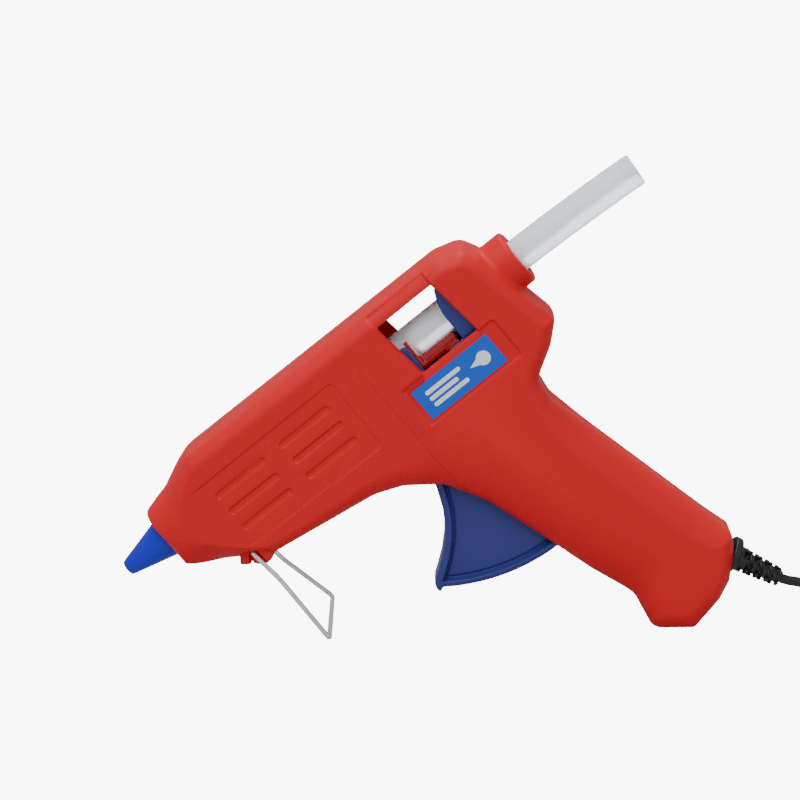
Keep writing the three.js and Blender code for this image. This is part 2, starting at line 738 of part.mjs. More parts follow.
function buildClamp() {
  const thick = 1.8;
  const bar = block(
    [CLAMP_POSTS[0] - 2.8, CLAMP_POSTS[1] + 2.8],
    [CLAMP_Y - thick, CLAMP_Y],
    [CLAMP_T - 3, CLAMP_T + 3],
  );
  const holes = CLAMP_POSTS.map((s) => crossBar(1.1 + GAP, [-9, 8], [s, CLAMP_T], 8));
  place(barrel, "cord_clamp", cut(bar, ...holes), RED);
  CLAMP_POSTS.forEach((s, i) => {
    const top = CLAMP_Y - thick - GAP;
    const head = crossBar(2.1, [top - 1.4, top], [s, CLAMP_T], 12);
    place(barrel, `clamp_screw_${i + 1}`, head.add(crossBar(1.1, [top - 0.5, 6], [s, CLAMP_T], 8)), STEEL);
  });
}

// Floor frame from here on.
const RELIEF_PATH = [[99.2, 0, 24], [103.6, 0, 23.4], [107, 0, 22], [113.5, 0, 18.6], [120, 0, 15.2]];
const CORD_PATH = [
  [120.9, 0, 14.9],
  [124, 0, 14],
  [128, -0.3, 13.3],
  [134, -1.6, 11],
  [140, -4.3, 6.6],
  [145.6, -7.6, 3.1],
];
const PLUG_PATH = [
  [186.6, -16.4, 9.4],
  [193, -11.4, 7.8],
  [198.4, -7.9, 7.1],
  [201.6, -7.5, 7.1],
];

function buildRelief() {
  const core = sweep([[97.5, 0, 24], ...RELIEF_PATH], RELIEF.tip, 10, 12);
  const flange = new THREE.CylinderGeometry(RELIEF.flange_r, RELIEF.flange_r - 0.6, RELIEF.flange, 20);
  flange.rotateZ(Math.PI / 2).rotateY(rad(4)).translate(104.9, 0, 23.2);
  const ribs = [];
  for (let i = 0; i < RELIEF.ribs; i++) {
    const k = i / (RELIEF.ribs - 1);
    const rib = new THREE.CylinderGeometry(RELIEF.tip + 1 - k * 0.5, RELIEF.root - 0.6 * k, 2.4, 10);
    rib.rotateZ(-Math.PI / 2).rotateY(rad(27)).translate(108.6 + 3.5 * i, 0, 21.1 - 1.8 * i);
    ribs.push(solidOf(rib));
  }
  place(gun, "strain_relief", join(solidOf(flange), core, ...ribs), BLACK);
}

function buildCord() {
  place(gun, "cord", sweep(CORD_PATH, CORD_R, 8, 12), BLACK);
  const { x, y, mean, half_width, low, high } = COIL;
  const ring = tube(mean - half_width, mean + half_width, low, high, 32);
  place(gun, "cord_coil", upright(ring, x, y), BLACK);
  const tie = cut(
    block([-3, 3], [-half_width - 1.5, half_width + 1.5], [low - 1.1, high + 1.1]),
    block([-9, 9], [-half_width - 0.6, half_width + 0.6], [low - GAP, high + GAP]),
  );
  place(gun, "cord_tie", tie.translate([x, y + mean, 0]), NAVY);
  place(gun, "cord_plug_end", sweep(PLUG_PATH, CORD_R, 8, 4), BLACK);
}

// A piece turned about s, stood up about the vertical line through (x, y).
function upright(solid, x, y) {
  return solid.rotate([0, -90, 0]).translate([x, y, 0]);
}

function buildPlug() {
  const { x, y, length, half, width, pin_r, pin_length, pitch } = PLUG;
  const plan = [
    [0, -4, 2],
    [0, 4, 2],
    [14, 7, 6],
    [length - 16, width / 2, 6],
    [length - 8, 13, 3],
    [length, 13, 2],
    [length, -13, 2],
    [length - 8, -13, 3],
    [length - 16, -width / 2, 6],
    [14, -7, 6],
  ].map(([along, over, fillet]) => [x + along, -y - over, fillet]);
  const body = slab(plan, [0.3, 0.3 + 2 * half], { edge: 2, rounds: 1 }).rotate([90, 0, 0]);
  const bar = (radius, side, front, rear) =>
    rod(radius, x + front, x + rear, 12).translate([0, y + (side * pitch) / 2, 0.3 + half]);
  const sockets = [-1, 1].map((side) => bar(pin_r + GAP, side, length - 6, length + 1));
  place(gun, "plug_body", cut(body, ...sockets), BLACK);
  [-1, 1].forEach((side, i) => {
    place(gun, `plug_pin_${i + 1}`, bar(pin_r, side, length - 5, length + pin_length), BRASS);
  });
}

buildHousing();
buildScrews();
buildLabel();
buildNozzle();
buildChamber();
buildHeater();
buildChamberMounts();
buildCradle();
buildGripper();
buildSpring();
buildTrigger();
buildStick();
buildStand();
buildWiring();
buildRelief();
buildCord();
buildPlug();

export default gun;
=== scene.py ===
import json
import math

import bpy
import numpy as np
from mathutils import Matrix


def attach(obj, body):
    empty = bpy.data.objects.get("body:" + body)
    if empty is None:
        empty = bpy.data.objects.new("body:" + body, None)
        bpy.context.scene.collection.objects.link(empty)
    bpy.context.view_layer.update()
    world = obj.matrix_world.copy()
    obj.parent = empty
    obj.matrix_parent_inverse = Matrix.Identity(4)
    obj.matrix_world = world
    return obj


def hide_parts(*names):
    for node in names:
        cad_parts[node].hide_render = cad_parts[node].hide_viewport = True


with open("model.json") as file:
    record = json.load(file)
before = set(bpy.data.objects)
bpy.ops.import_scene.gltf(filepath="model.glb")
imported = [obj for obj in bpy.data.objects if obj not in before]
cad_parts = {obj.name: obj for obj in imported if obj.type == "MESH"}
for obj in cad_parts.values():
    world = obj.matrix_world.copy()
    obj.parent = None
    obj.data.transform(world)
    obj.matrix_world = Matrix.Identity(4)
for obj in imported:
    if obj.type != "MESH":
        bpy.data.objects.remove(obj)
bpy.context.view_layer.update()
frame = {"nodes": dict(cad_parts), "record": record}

# %% [markdown]
# ## Camera
# The gun is seen square from its left side, from a little above, through a long lens.
# %% Camera
TARGET = np.array([-0.0090, 0.0, 0.0781])
DISTANCE = 0.800
ELEVATION = math.radians(16.0)
LENS = 107.8


def add_camera(target, distance, elevation, lens):
    data = bpy.data.cameras.new("camera")
    data.lens = lens
    data.sensor_width = 36.0
    data.clip_start = 0.01
    data.clip_end = 50.0
    camera = bpy.data.objects.new("camera", data)
    back = np.array([0.0, -math.cos(elevation), math.sin(elevation)]) * distance
    camera.location = target + back
    camera.rotation_euler = (math.pi / 2 - elevation, 0.0, 0.0)
    bpy.context.scene.collection.objects.link(camera)
    bpy.context.scene.camera = camera
    return camera


camera = add_camera(TARGET, DISTANCE, ELEVATION, LENS)
print("camera at", [round(v, 4) for v in camera.location])

# %% [markdown]
# ## The barrel's own frame
# The gun stands with its barrel tilted, so almost every piece is easier to describe in the barrel's
# frame: s runs back along the glue stick from the nozzle's tip, y goes across, and t stands square
# to both. Lengths are millimetres until the last moment, when they become metres on the floor.
# %% Frames
MM = 0.001
TILT = math.radians(39.7)
TIP_X, TIP_HEIGHT = -101.6, 18.5
COS, SIN = math.cos(TILT), math.sin(TILT)


def to_floor(points):
    """Barrel frame in mm to the floor frame in metres."""
    s, y, t = np.asarray(points, float).T
    x, z = floor_of(s, t)
    return np.stack([x, y, z], axis=1) * MM


def floor_of(s, t):
    """Where a place on the barrel lies along the floor, and how high, in mm."""
    return TIP_X + s * COS - t * SIN, TIP_HEIGHT + s * SIN + t * COS


def in_metres(points):
    return np.asarray(points, float) * MM


def place(name, vertices, faces, body, slot, replaces=(), smooth=True):
    """A finished mesh as one piece of the gun."""
    mesh = bpy.data.meshes.new(name)
    mesh.from_pydata(np.asarray(vertices).tolist(), [], [list(map(int, f)) for f in faces])
    mesh.validate()
    mesh.polygons.foreach_set("use_smooth", [smooth] * len(mesh.polygons))
    piece = bpy.data.objects.new(name, mesh)
    bpy.context.scene.collection.objects.link(piece)
    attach(piece, body)
    if replaces:
        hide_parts(*replaces)
    print(f"{name}: {len(mesh.polygons)} faces")
    return piece


# %% [markdown]
# ## Routes and round sections
# A cord, a bent wire and a spring are one idea: a round section carried along a route. The route is
# smoothed first, then resampled evenly, and the section is turned as little as possible on its way.
# %% Sweeping a round section
def smooth_route(points, spacing):
    """A smooth curve through the points, resampled at an even spacing."""
    p = np.asarray(points, float)
    p = np.vstack([2 * p[0] - p[1], p, 2 * p[-1] - p[-2]])
    out = []
    for a, b, c, d in zip(p, p[1:], p[2:], p[3:]):
        k = np.linspace(0, 1, 12, endpoint=False)[:, None]
        bow, twist = 2 * a - 5 * b + 4 * c - d, 3 * b - a - 3 * c + d
        out.append(0.5 * (2 * b + (c - a) * k + bow * k**2 + twist * k**3))
    dense = np.vstack([*out, p[-2][None]])
    run = np.concatenate([[0], np.cumsum(np.linalg.norm(np.diff(dense, axis=0), axis=1))])
    marks = np.linspace(0, run[-1], max(2, int(round(run[-1] / spacing)) + 1))
    return np.stack([np.interp(marks, run, dense[:, i]) for i in range(3)], axis=1)


def sweep(route, radius, sides):
    """Vertices and faces of a round bar along a route. The radius may change along it."""
    route = np.asarray(route, float)
    radius = np.broadcast_to(radius, len(route))
    tangent = np.gradient(route, axis=0)
    tangent /= np.linalg.norm(tangent, axis=1)[:, None]
    seed = np.array([0.0, 0.0, 1.0]) if abs(tangent[0][2]) < 0.9 else np.array([0.0, 1.0, 0.0])
    normal = seed - tangent[0] * seed.dot(tangent[0])
    angle = np.linspace(0, 2 * math.pi, sides, endpoint=False)
    rings = []
    for place_at, along, r in zip(route, tangent, radius):
        normal = normal - along * normal.dot(along)
        normal /= np.linalg.norm(normal)
        side = np.cross(along, normal)
        rings.append(place_at + r * (np.outer(np.cos(angle), normal) + np.outer(np.sin(angle), side)))
    return np.vstack(rings), tube_faces(len(route), sides)


def tube_faces(count, sides):
    """Faces between rings of points, with both ends closed."""
    faces = []
    for i in range(count - 1):
        for j in range(sides):
            a, b = i * sides + j, i * sides + (j + 1) % sides
            faces.append([a, b, b + sides, a + sides])
    faces.append(list(range(sides))[::-1])
    faces.append([(count - 1) * sides + j for j in range(sides)])
    return faces


# %% [markdown]
# ## The mains cord
# The cord leaves the handle level, sinks to the table and is put away in a small tied coil behind
# the gun, with its plug lying beyond it. The coil is wound in layers: in, out, in and out again, so both
# of its ends stay on the outside.
# %% Cord route
CORD_RADIUS = 1.7
COIL_X, COIL_Y, COIL_MEAN = 170.0, 6.0, 20.0
COIL_START = math.radians(-120)
COIL_LAYERS, COIL_TURNS = 4, 9 + 1 / 12
TURN_PITCH = 2 * CORD_RADIUS + 0.02


def coil_route():
    """The turns of the coil, from the lowest layer to the highest."""
    per_layer = COIL_TURNS / COIL_LAYERS
    swing = per_layer * TURN_PITCH / 2
    marks = np.linspace(0, COIL_TURNS, int(COIL_TURNS * 20) + 1)
    layer = np.minimum(marks // per_layer, COIL_LAYERS - 1)
    share = marks / per_layer - layer
    inward = np.where(layer % 2 == 0, 1 - 2 * share, 2 * share - 1)
    climb = np.clip((share - 0.93) / 0.07, 0, 1) * (layer < COIL_LAYERS - 1)
    radius = COIL_MEAN + swing * inward
    turn = COIL_START + 2 * math.pi * marks
    height = CORD_RADIUS + 0.05 + TURN_PITCH * (layer + climb * climb * (3 - 2 * climb))
    return np.stack([COIL_X + radius * np.cos(turn), COIL_Y + radius * np.sin(turn), height], axis=1)


LEAVING = [[117.0, 0, 16.7], [120.9, 0, 14.9], [124, 0, 14], [128, -0.3, 13.3], [134, -1.6, 11],
           [140, -4.3, 6.6], [145.6, -7.6, 3.1], [151.6, -11.1, 1.9]]
ARRIVING = [[178.4, -17.6, 11.2], [186.6, -16.4, 9.4], [193, -11.4, 7.8], [198.4, -7.9, 7.1],
            [201.6, -7.5, 7.1], [205, -7.5, 7.1]]
cord_points = np.vstack([LEAVING, coil_route(), ARRIVING])
cord_path = smooth_route(in_metres(cord_points), 0.0016)
cord = place("mains_cord", *sweep(cord_path, CORD_RADIUS * MM, 14), "housing", "cord",
             ["cord", "cord_coil", "cord_plug_end"])

# %% [markdown]
# ## Distance fields
# Moulded plastic has soft edges and one shape melts into the next. That is hard to model face by
# face and easy to say as a distance field: a number at every place that is negative inside. Outlines
# give flat distances, rounding and blending are sums of them, and the zero level is then skinned.
# %% Field helpers
def outline(s, t, corners):
    """Signed distance to a closed outline, negative inside."""
    near, inside = None, None
    for (s0, t0), (s1, t1) in zip(corners, corners[1:] + corners[:1]):
        es, et = s1 - s0, t1 - t0
        ws, wt = s - s0, t - t0
        h = np.clip((ws * es + wt * et) / (es * es + et * et), 0, 1)
        gap = (ws - es * h) ** 2 + (wt - et * h) ** 2
        above, below, left = t >= t0, t < t1, es * wt > et * ws
        crossed = (above & below & left) | (~above & ~below & ~left)
        near = gap if near is None else np.minimum(near, gap)
        inside = crossed if inside is None else inside ^ crossed
    return np.where(inside, -1, 1) * np.sqrt(near)


def rounded(corners, steps=6):
    """An outline whose corners, [s, t, radius], are drawn as arcs."""
    points = [np.array(c[:2], float) for c in corners]
    out = []
    for i, p in enumerate(points):
        before, after = points[i - 1] - p, points[(i + 1) % len(points)] - p
        lb, la = np.linalg.norm(before), np.linalg.norm(after)
        before, after = before / lb, after / la
        half = math.acos(float(np.clip(before.dot(after), -1, 1))) / 2
        reach = min(corners[i][2] / math.tan(half), 0.49 * lb, 0.49 * la) if corners[i][2] else 0
        if reach == 0 or half > 1.55:
            out.append(tuple(p))
            continue
        radius = reach * math.tan(half)
        middle = p + (before + after) / np.linalg.norm(before + after) * radius / math.sin(half)
        start, end = p + before * reach - middle, p + after * reach - middle
        a0 = math.atan2(start[1], start[0])
        sweep_by = (math.atan2(end[1], end[0]) - a0 + math.pi) % (2 * math.pi) - math.pi
        for k in range(steps + 1):
            a = a0 + sweep_by * k / steps
            out.append((middle[0] + radius * math.cos(a), middle[1] + radius * math.sin(a)))
    return out


def ease(low, high, value):
    k = np.clip((value - low) / (high - low), 0, 1)
    return k * k * (3 - 2 * k)


def soft_max(a, b, r):
    h = np.clip(0.5 - 0.5 * (b - a) / r, 0, 1)
    return b + (a - b) * h + r * h * (1 - h)


def soft_min(a, b, r):
    return -soft_max(-a, -b, r)


def slab(flat, y, low, high, edge=0.0):
    """An outline's distance carried from one side of the gun towards the other."""
    across = np.abs(y - (low + high) / 2) - (high - low) / 2 + edge
    flat = flat + edge
    outside = np.hypot(np.maximum(flat, 0), np.maximum(across, 0))
    return np.minimum(np.maximum(flat, across), 0) + outside - edge


def disc(s, t, middle, radius):
    return np.hypot(s - middle[0], t - middle[1]) - radius


# %% [markdown]
# ## Skinning a field
# The skin is a net with one point in every cell that the zero level crosses. Each point then walks
# down the field until it lies on the surface, so the mesh follows curves exactly. A collapse
# modifier thins the flat parts, and the field gives the shading normals of what is left.
# %% Surface net
CORNERS = np.array([[i, j, k] for i in (0, 1) for j in (0, 1) for k in (0, 1)])
EDGES = [(a, b) for a in range(8) for b in range(a + 1, 8) if abs(CORNERS[a] - CORNERS[b]).sum() == 1]


def net(field, low, high, step):
    """Points and quads of the field's zero level inside a box."""
    axes = [np.arange(a - step, b + 2 * step, step) for a, b in zip(low, high)]
    value = field(*np.meshgrid(*axes, indexing="ij", sparse=True)).astype(np.float32)
    inside = value < 0
    cells = np.array(value.shape) - 1
    filled = sum(
        inside[i:cells[0] + i, j:cells[1] + j, k:cells[2] + k].astype(np.int8) for i, j, k in CORNERS
    )
    where = np.argwhere((filled > 0) & (filled < 8))
    number = -np.ones(cells, np.int64)
    number[tuple(where.T)] = np.arange(len(where))
    corner = np.stack([value[tuple((where + c).T)] for c in CORNERS], axis=1)
    total, count = np.zeros((len(where), 3)), np.zeros(len(where))
    for a, b in EDGES:
        va, vb = corner[:, a], corner[:, b]
        crossed = (va < 0) != (vb < 0)
        k = np.where(crossed, va / np.where(crossed, va - vb, 1), 0)[:, None]
        total += np.where(crossed[:, None], CORNERS[a] + k * (CORNERS[b] - CORNERS[a]), 0)
        count += crossed
    points = np.array([a[0] for a in axes]) + (where + total / count[:, None]) * step
    quads = []
    for axis in range(3):
        lead = [slice(1, -1)] * 3
        lead[axis] = slice(0, -1)
        follow = list(lead)
        follow[axis] = slice(1, None)
        here, there = inside[tuple(lead)], inside[tuple(follow)]
        at = np.argwhere(here != there)
        start = at + 1
        start[:, axis] -= 1
        u, v = [(1, 2), (2, 0), (0, 1)][axis]
        du, dv = np.eye(3, dtype=int)[u], np.eye(3, dtype=int)[v]
        ring = [start - du - dv, start - dv, start, start - du]
        quad = np.stack([number[tuple(r.T)] for r in ring], axis=1)
        flip = ~here[tuple(at.T)]
        quad[flip] = quad[flip][:, ::-1]
        quads.append(quad)
    return points, np.vstack(quads)


def slope(field, points, reach):
    """The way in which the field grows, at each point."""
    grads = []
    for axis in range(3):
        shift = np.zeros(3)
        shift[axis] = reach
        grads.append((field(*(points + shift).T) - field(*(points - shift).T)) / (2 * reach))
    return np.stack(grads, axis=1)


def settle(field, points, step, rounds):
    """Walks the points down the field onto its zero level."""
    for _ in range(rounds):
        grad = slope(field, points, step * 0.2)
        size = np.maximum((grad**2).sum(axis=1), 0.05)
        move = -grad * (field(*points.T) / size)[:, None]
        length = np.linalg.norm(move, axis=1)
        move *= np.minimum(1, step * 0.5 / np.maximum(length, 1e-9))[:, None]
        points = points + move
    return points


def skin(name, field, low, high, step, body, slot, replaces, keep, turn=to_floor):
    """A piece whose surface is the field's zero level, thinned to a share of its faces."""
    points, quads = net(field, low, high, step)
    points = settle(field, points, step, 3)
    piece = place(name, points, quads, body, slot, replaces)
    thin = piece.modifiers.new("thin", "DECIMATE")
    thin.ratio = keep
    evaluated = piece.evaluated_get(bpy.context.evaluated_depsgraph_get())
    thinned = bpy.data.meshes.new_from_object(evaluated)
    piece.modifiers.clear()
    old, piece.data = piece.data, thinned
    bpy.data.meshes.remove(old)
    piece.data.name = name
    mesh = piece.data
    flat = np.empty(len(mesh.vertices) * 3)
    mesh.vertices.foreach_get("co", flat)
    points = settle(field, flat.reshape(-1, 3), step, 1)
    normal = slope(field, points, step * 0.35)
    normal /= np.maximum(np.linalg.norm(normal, axis=1), 1e-9)[:, None]
    base = turn(np.zeros((1, 3)))
    mesh.vertices.foreach_set("co", turn(points).ravel())
    turned = turn(normal) - base
    turned /= np.linalg.norm(turned, axis=1)[:, None]
    mesh.polygons.foreach_set("use_smooth", [True] * len(mesh.polygons))
    mesh.update()
    mesh.normals_split_custom_set_from_vertices(turned.tolist())
    print(f"  {name} kept {len(mesh.polygons)} faces")
    return piece


# %% [markdown]
# ## The housing's outline
# Two moulded shells meet on the middle plane. Their common outline is a barrel and a raked handle.
# The top edge is tight, the edge on the finger side is long and soft, and the handle's back is full
# and round, so the width of the rounding is itself a value that drifts over the side.
# %% Housing form
HALF_WIDTH, WALL = 13.5, 2.0
CROWN = 1.2
SILHOUETTE = rounded([
    (18.4, 11.2, 0.8), (21.6, 13.6, 2), (42.4, 19.5, 5), (149.5, 18.4, 9), (158.8, 15.6, 6),
    (161.9, 9.6, 4), (168.0, -22.8, 3.4), (161.4, -28.8, 5), (150.6, -35.2, 6), (149.1, -44.0, 7),
    (166.6, -119.4, 3), (163.6, -124.0, 2), (156.0, -131.6, 2.2), (149.6, -134.4, 2),
    (136.6, -137.2, 2.4), (125.6, -128.2, 4.5), (128.2, -114.6, 8), (122.4, -98.4, 16),
    (116.4, -76.8, 20), (110.6, -57.0, 16), (103.2, -43.6, 12), (92.6, -35.2, 12), (83.2, -31.3, 12),
    (43.0, -24.9, 9), (33.0, -19.8, 12), (20.6, -11.8, 2), (18.4, -9.6, 0.8),
])
BACK_LINE = (149.6, -44.7)
BACK_ALONG = (0.2177, -0.9760)


def across_handle(s, t):
    """How far a place lies from the handle's back, towards the fingers."""
    return (s - BACK_LINE[0]) * BACK_ALONG[1] - (t - BACK_LINE[1]) * BACK_ALONG[0]


def roundings(s, t):
    """The depth of the side's rounding, in from the outline and in from the side face."""
    finger = ease(12, 22, across_handle(s, t)) * ease(-6, -16, t)
    end = ease(-106, -126, t)
    low_in = np.interp(s + 0 * t, [38, 60, 84, 97, 108, 120], [3.6, 4.6, 6.6, 8.8, 14, 18])
    low_down = np.interp(s + 0 * t, [38, 60, 84, 97, 108, 120], [4.0, 4.6, 5.4, 6.2, 7.0, 7.6])
    back_in = 4.2 + 5.6 * ease(-32, -62, t)
    back_down = 4.6 + 6.4 * ease(-32, -62, t)
    inward = back_in + (low_in - back_in) * finger
    downward = back_down + (low_down - back_down) * finger
    return inward + (4.0 - inward) * end * 0.8, downward + (4.6 - downward) * end * 0.6, finger


# %% [markdown]
# ## Relief on the sides
# The side faces are nearly flat. They carry two groups of short grooves in a shallow panel, a step
# ahead of the handle, the pocket round the window and the seat of the label. All of it is one map
# of depths, so every feature also fades where it runs over a rounded edge.
# %% Side relief
WINDOW_POCKET = [(120.3, 17.4), (143.9, 17.4), (146.4, -8.9), (123.1, -8.9)]
WINDOW_HOLE = rounded([(121.1, 12.85, 0.5), (144.0, 12.85, 0.5), (146.1, -8.2, 0.8), (123.3, -8.2, 0.8)],
                      3)
LABEL_SEAT = rounded([(113.8, -8.6, 1), (152.4, -8.6, 1), (152.4, -24.0, 1), (113.8, -24.0, 1)], 3)
PANEL = rounded([(30.0, 8.8, 0), (98.2, 8.6, 1.5), (97.1, -18.9, 1.5), (36.0, -17.8, 0)], 3)
FRONT_STEP = [(0, 60), (107.8, 60), (107.8, -80), (0, -80)]
GROOVE_STARTS, GROOVE_LENGTH, GROOVE_WIDTH = (43.1, 71.0), 21.0, 2.3
GROOVE_TOP, GROOVE_PITCH = 2.4, 6.9


def grooves(s, t):
    nearest = None
    for start in GROOVE_STARTS:
        for row in range(3):
            level = GROOVE_TOP - row * GROOVE_PITCH
            half = GROOVE_LENGTH / 2 - GROOVE_WIDTH / 2
            along = np.maximum(np.abs(s - start - GROOVE_LENGTH / 2) - half, 0)
            gap = np.hypot(along, t - level) - GROOVE_WIDTH / 2
            nearest = gap if nearest is None else np.minimum(nearest, gap)
    return nearest


def relief_depth(s, t, side):
    depth = 0.5 * ease(0.3, -0.3, grooves(s, t))
    depth = depth + 0.36 * ease(0.3, -0.3, outline(s, t, PANEL)) * ease(34, 42, s)
    depth = depth + 0.3 * ease(0.3, -0.3, outline(s, t, FRONT_STEP)) * ease(14, 6, t)
    depth = np.maximum(depth, 1.0 * ease(0.3, -0.3, outline(s, t, WINDOW_POCKET)))
    if side < 0:
        depth = np.maximum(depth, 0.55 * ease(0.3, -0.3, outline(s, t, LABEL_SEAT)))
    return depth


def housing_form(s, y, t, side=0):
    """The outside of the gun. Side 0 is the plain form without relief."""
    inward, downward, finger = roundings(s, t)
    depth = relief_depth(s, t, side) if side else 0.0
    crown = CROWN * (1 - finger) * ease(-50, -30, t)
    inset = -outline(s, t, SILHOUETTE) - crown * (y / HALF_WIDTH) ** 2
    u = np.maximum(1 - inset / inward, 0)
    v = np.maximum(np.abs(y) - (HALF_WIDTH - depth - downward), 0) / downward
    body = ((u**1.8 + v**1.8) ** (1 / 1.8) - 1) * np.minimum(inward, downward)
    cone = np.interp(s + 0 * t, [0, 18.4, 29.1, 44.4, 54, 60], [11.0, 11.5, 14.1, 21.2, 30, 500])
    chin = np.where(t < 0, 0.77 * t, t)
    body = soft_max(body, (np.hypot(y, chin) - cone) * 0.9, 0.5)
    barrel = np.hypot(y, t)
    collar = slab(barrel - 9.9, s, 154.0, 170.8, 1.4)
    return soft_min(body, collar, 1.6)


# %% [markdown]
# ## Walls, bosses and openings
# Each shell is the form less the same form drawn in by the wall. Screw bosses are added inside,
# then the openings are cut: nozzle and stick bores, the window, the trigger's mouth, the cord's
# hole, the pivots and the screws' counterbores.
# %% Shell field
SCREWS = [(45, 14.6), (50, -21.6), (94, -29.5), (150, 13.4), (146, -62), (138.5, -124)]
SCREW_SEAT, BOSS_RADIUS, SCREW_HOLE, COUNTERBORE = 6.0, 4.2, 1.6, 3.15
PIVOT = (119.3, -18.0)
STAND_PIVOT = (39.0, -20.4)
MOUTH = [(99, -37.5), (113, -37.5), (123, -60), (127, -88.5), (112, -88.5), (95, -60)]
CORD_HOLE_HEIGHT, CORD_HOLE_RADIUS = 23.6, 4.4
LUG_HALF, STOP_HALF, LEG_SIDE = 8.75, 11.4, 10.2


def stand_lug(s, y, t):
    """The lug that the wire stand turns in: two lobes with a groove between, and a stop each side."""
    x, z = floor_of(s, t)
    front = np.maximum(np.abs(x + 61.0) - 1.9, np.abs(z - 28.0) - 5.3)
    rear = disc(x, z, (-56.0, 27.6), 4.8)
    core = slab(soft_min(front, rear, 0.6), y, -LUG_HALF, LUG_HALF, 0.9)
    groove = np.maximum(np.abs(x + 59.0) - 0.6, z - 28.6)
    core = np.maximum(core, -np.maximum(groove, 7.2 - np.abs(y)))
    stop = slab(disc(x, z, (-55.5, 28.4), 4.4), y, -STOP_HALF, STOP_HALF, 1.0)
    behind = np.maximum(STAND_PIVOT[0] + 1.85 - s, t + 15)
    return np.minimum(core, soft_max(stop, behind, 0.6))


def cut(form, hole):
    """A form with a hole taken out of it."""
    return np.maximum(form, -hole)


def shell_field(side):
    def field(s, y, t):
        swing = np.maximum(disc(s, t, STAND_PIVOT, 7.0), np.abs(np.abs(y) - LEG_SIDE) - 1.35)
        swing = np.maximum(swing, t - STAND_PIVOT[1] - 1.2)
        form = cut(housing_form(s, y, t, side), swing)
        form = soft_min(form, stand_lug(s, y, t), 0.5)
        shell = cut(form, housing_form(s, y, t) + WALL)
        for spot in SCREWS:
            shell = np.minimum(shell, np.maximum(disc(s, t, spot, BOSS_RADIUS), form))
        barrel = np.hypot(y, t)
        shell = cut(shell, np.maximum(barrel - 7.6, s - 25))
        shell = cut(shell, np.maximum(barrel - 6.4, 148 - s))
        shell = cut(shell, outline(s, t, WINDOW_HOLE) + 0 * y)
        shell = cut(shell, slab(outline(s, t, MOUTH), y, -6.6, 6.6))
        x, z = floor_of(s, t)
        shell = cut(shell, np.maximum(np.hypot(y, z - CORD_HOLE_HEIGHT) - CORD_HOLE_RADIUS, 92 - x))
        shell = cut(shell, np.maximum(disc(s, t, STAND_PIVOT, 1.1), np.abs(y) - 20))
        shell = cut(shell, np.maximum(disc(s, t, PIVOT, 2.2), np.abs(y) - 12.4))
        for spot in SCREWS:
            hole = disc(s, t, spot, SCREW_HOLE)
            if side < 0:
                shell = cut(shell, np.maximum(hole, -10.5 - y))
            else:
                shell = cut(shell, hole + 0 * y)
                shell = cut(shell, np.maximum(disc(s, t, spot, COUNTERBORE), SCREW_SEAT - y))
        return np.maximum(shell, 0.12 - y * side)

    return field


# %% [markdown]
# ## The two shells
# A fine net is needed for the shallow grooves; the collapse afterwards keeps only what they need.
# %% Housing shells
SHELL_STEP = 0.55
for side, label in ((-1, "left"), (1, "right")):
    low = (16, -13.8, -139) if side < 0 else (16, 0, -139)
    high = (173, 0, 22) if side < 0 else (173, 13.8, 22)
    skin(f"shell_{label}", shell_field(side), low, high, SHELL_STEP, "housing", "housing",
         [f"housing_{label}"], keep=0.22)

# %% [markdown]
# ## Turned pieces
# The nozzle, its silicone sleeve and the screws are round about an axis; for the nozzle and the sleeve a
# profile is spun.
# %% Lathe
def spin(profile, sides=64):
    """A closed profile of (radius, s) places, spun about the barrel's axis."""
    angle = np.linspace(0, 2 * math.pi, sides, endpoint=False)
    rings = [np.stack([np.full(sides, s), r * np.cos(angle), r * np.sin(angle)], axis=1) for r, s in profile]
    count = len(profile)
    faces = []
    for i in range(count):
        for j in range(sides):
            a, b = i * sides + j, i * sides + (j + 1) % sides
            c, d = (i + 1) % count * sides + (j + 1) % sides, (i + 1) % count * sides + j
            faces.append([a, d, c, b])
    return np.vstack(rings), faces


SLEEVE_PROFILE = rounded([
    (1.9, 0.1, 0.2), (2.55, 0.0, 0.4), (3.0, 1.0, 1.2), (7.05, 17.6, 0.4), (7.1, 20.8, 0.2),
    (8.8, 20.8, 0.3), (8.8, 22.2, 0.3), (5.9, 22.2, 0.2), (5.9, 17.8, 0.5), (2.0, 1.6, 0.2),
], 4)
points, faces = spin(SLEEVE_PROFILE)
place("silicone_sleeve", to_floor(points), faces, "housing", "sleeve", ["nozzle_sleeve"])
NOZZLE_PROFILE = rounded([
    (0.9, 0.7, 0.1), (1.5, 0.7, 0.3), (5.4, 18, 0.5), (5.4, 23.4, 0.1), (7.3, 23.4, 0.3),
    (7.3, 27.6, 0.3), (4.2, 27.6, 0.2), (4.2, 34.9, 0.4), (2.6, 34.9, 0.2), (2.6, 16, 1), (0.9, 6, 0.5),
], 4)
points, faces = spin(NOZZLE_PROFILE)
place("brass_nozzle", to_floor(points), faces, "housing", "brass", ["nozzle"])

# %% [markdown]
# ## Screws
# Cross-head screws sit deep in the right shell. One head is skinned with its recess and used six times.
# %% Screws
def screw_field(s, y, t):
    """One screw on its own axis: a head with a tapered cross in it, and a threaded shank."""
    ring = np.hypot(s, t)
    head = slab(ring - 2.75, y, 0.0, 2.0, 0.45)
    bar = np.maximum(np.abs(s) - 0.42, np.abs(t) - 1.6)
    cross = np.minimum(bar, np.maximum(np.abs(t) - 0.42, np.abs(s) - 1.6))
    taper = (2.0 - y) * 0.35
    head = cut(head, np.maximum(cross + taper, 0.7 - y))
    thread = 0.2 * np.cos(y * 2 * math.pi / 1.3)
    shank = np.maximum(ring - 1.15 - thread, np.maximum(y - 1, -14.8 - y))
    return np.minimum(head, shank)


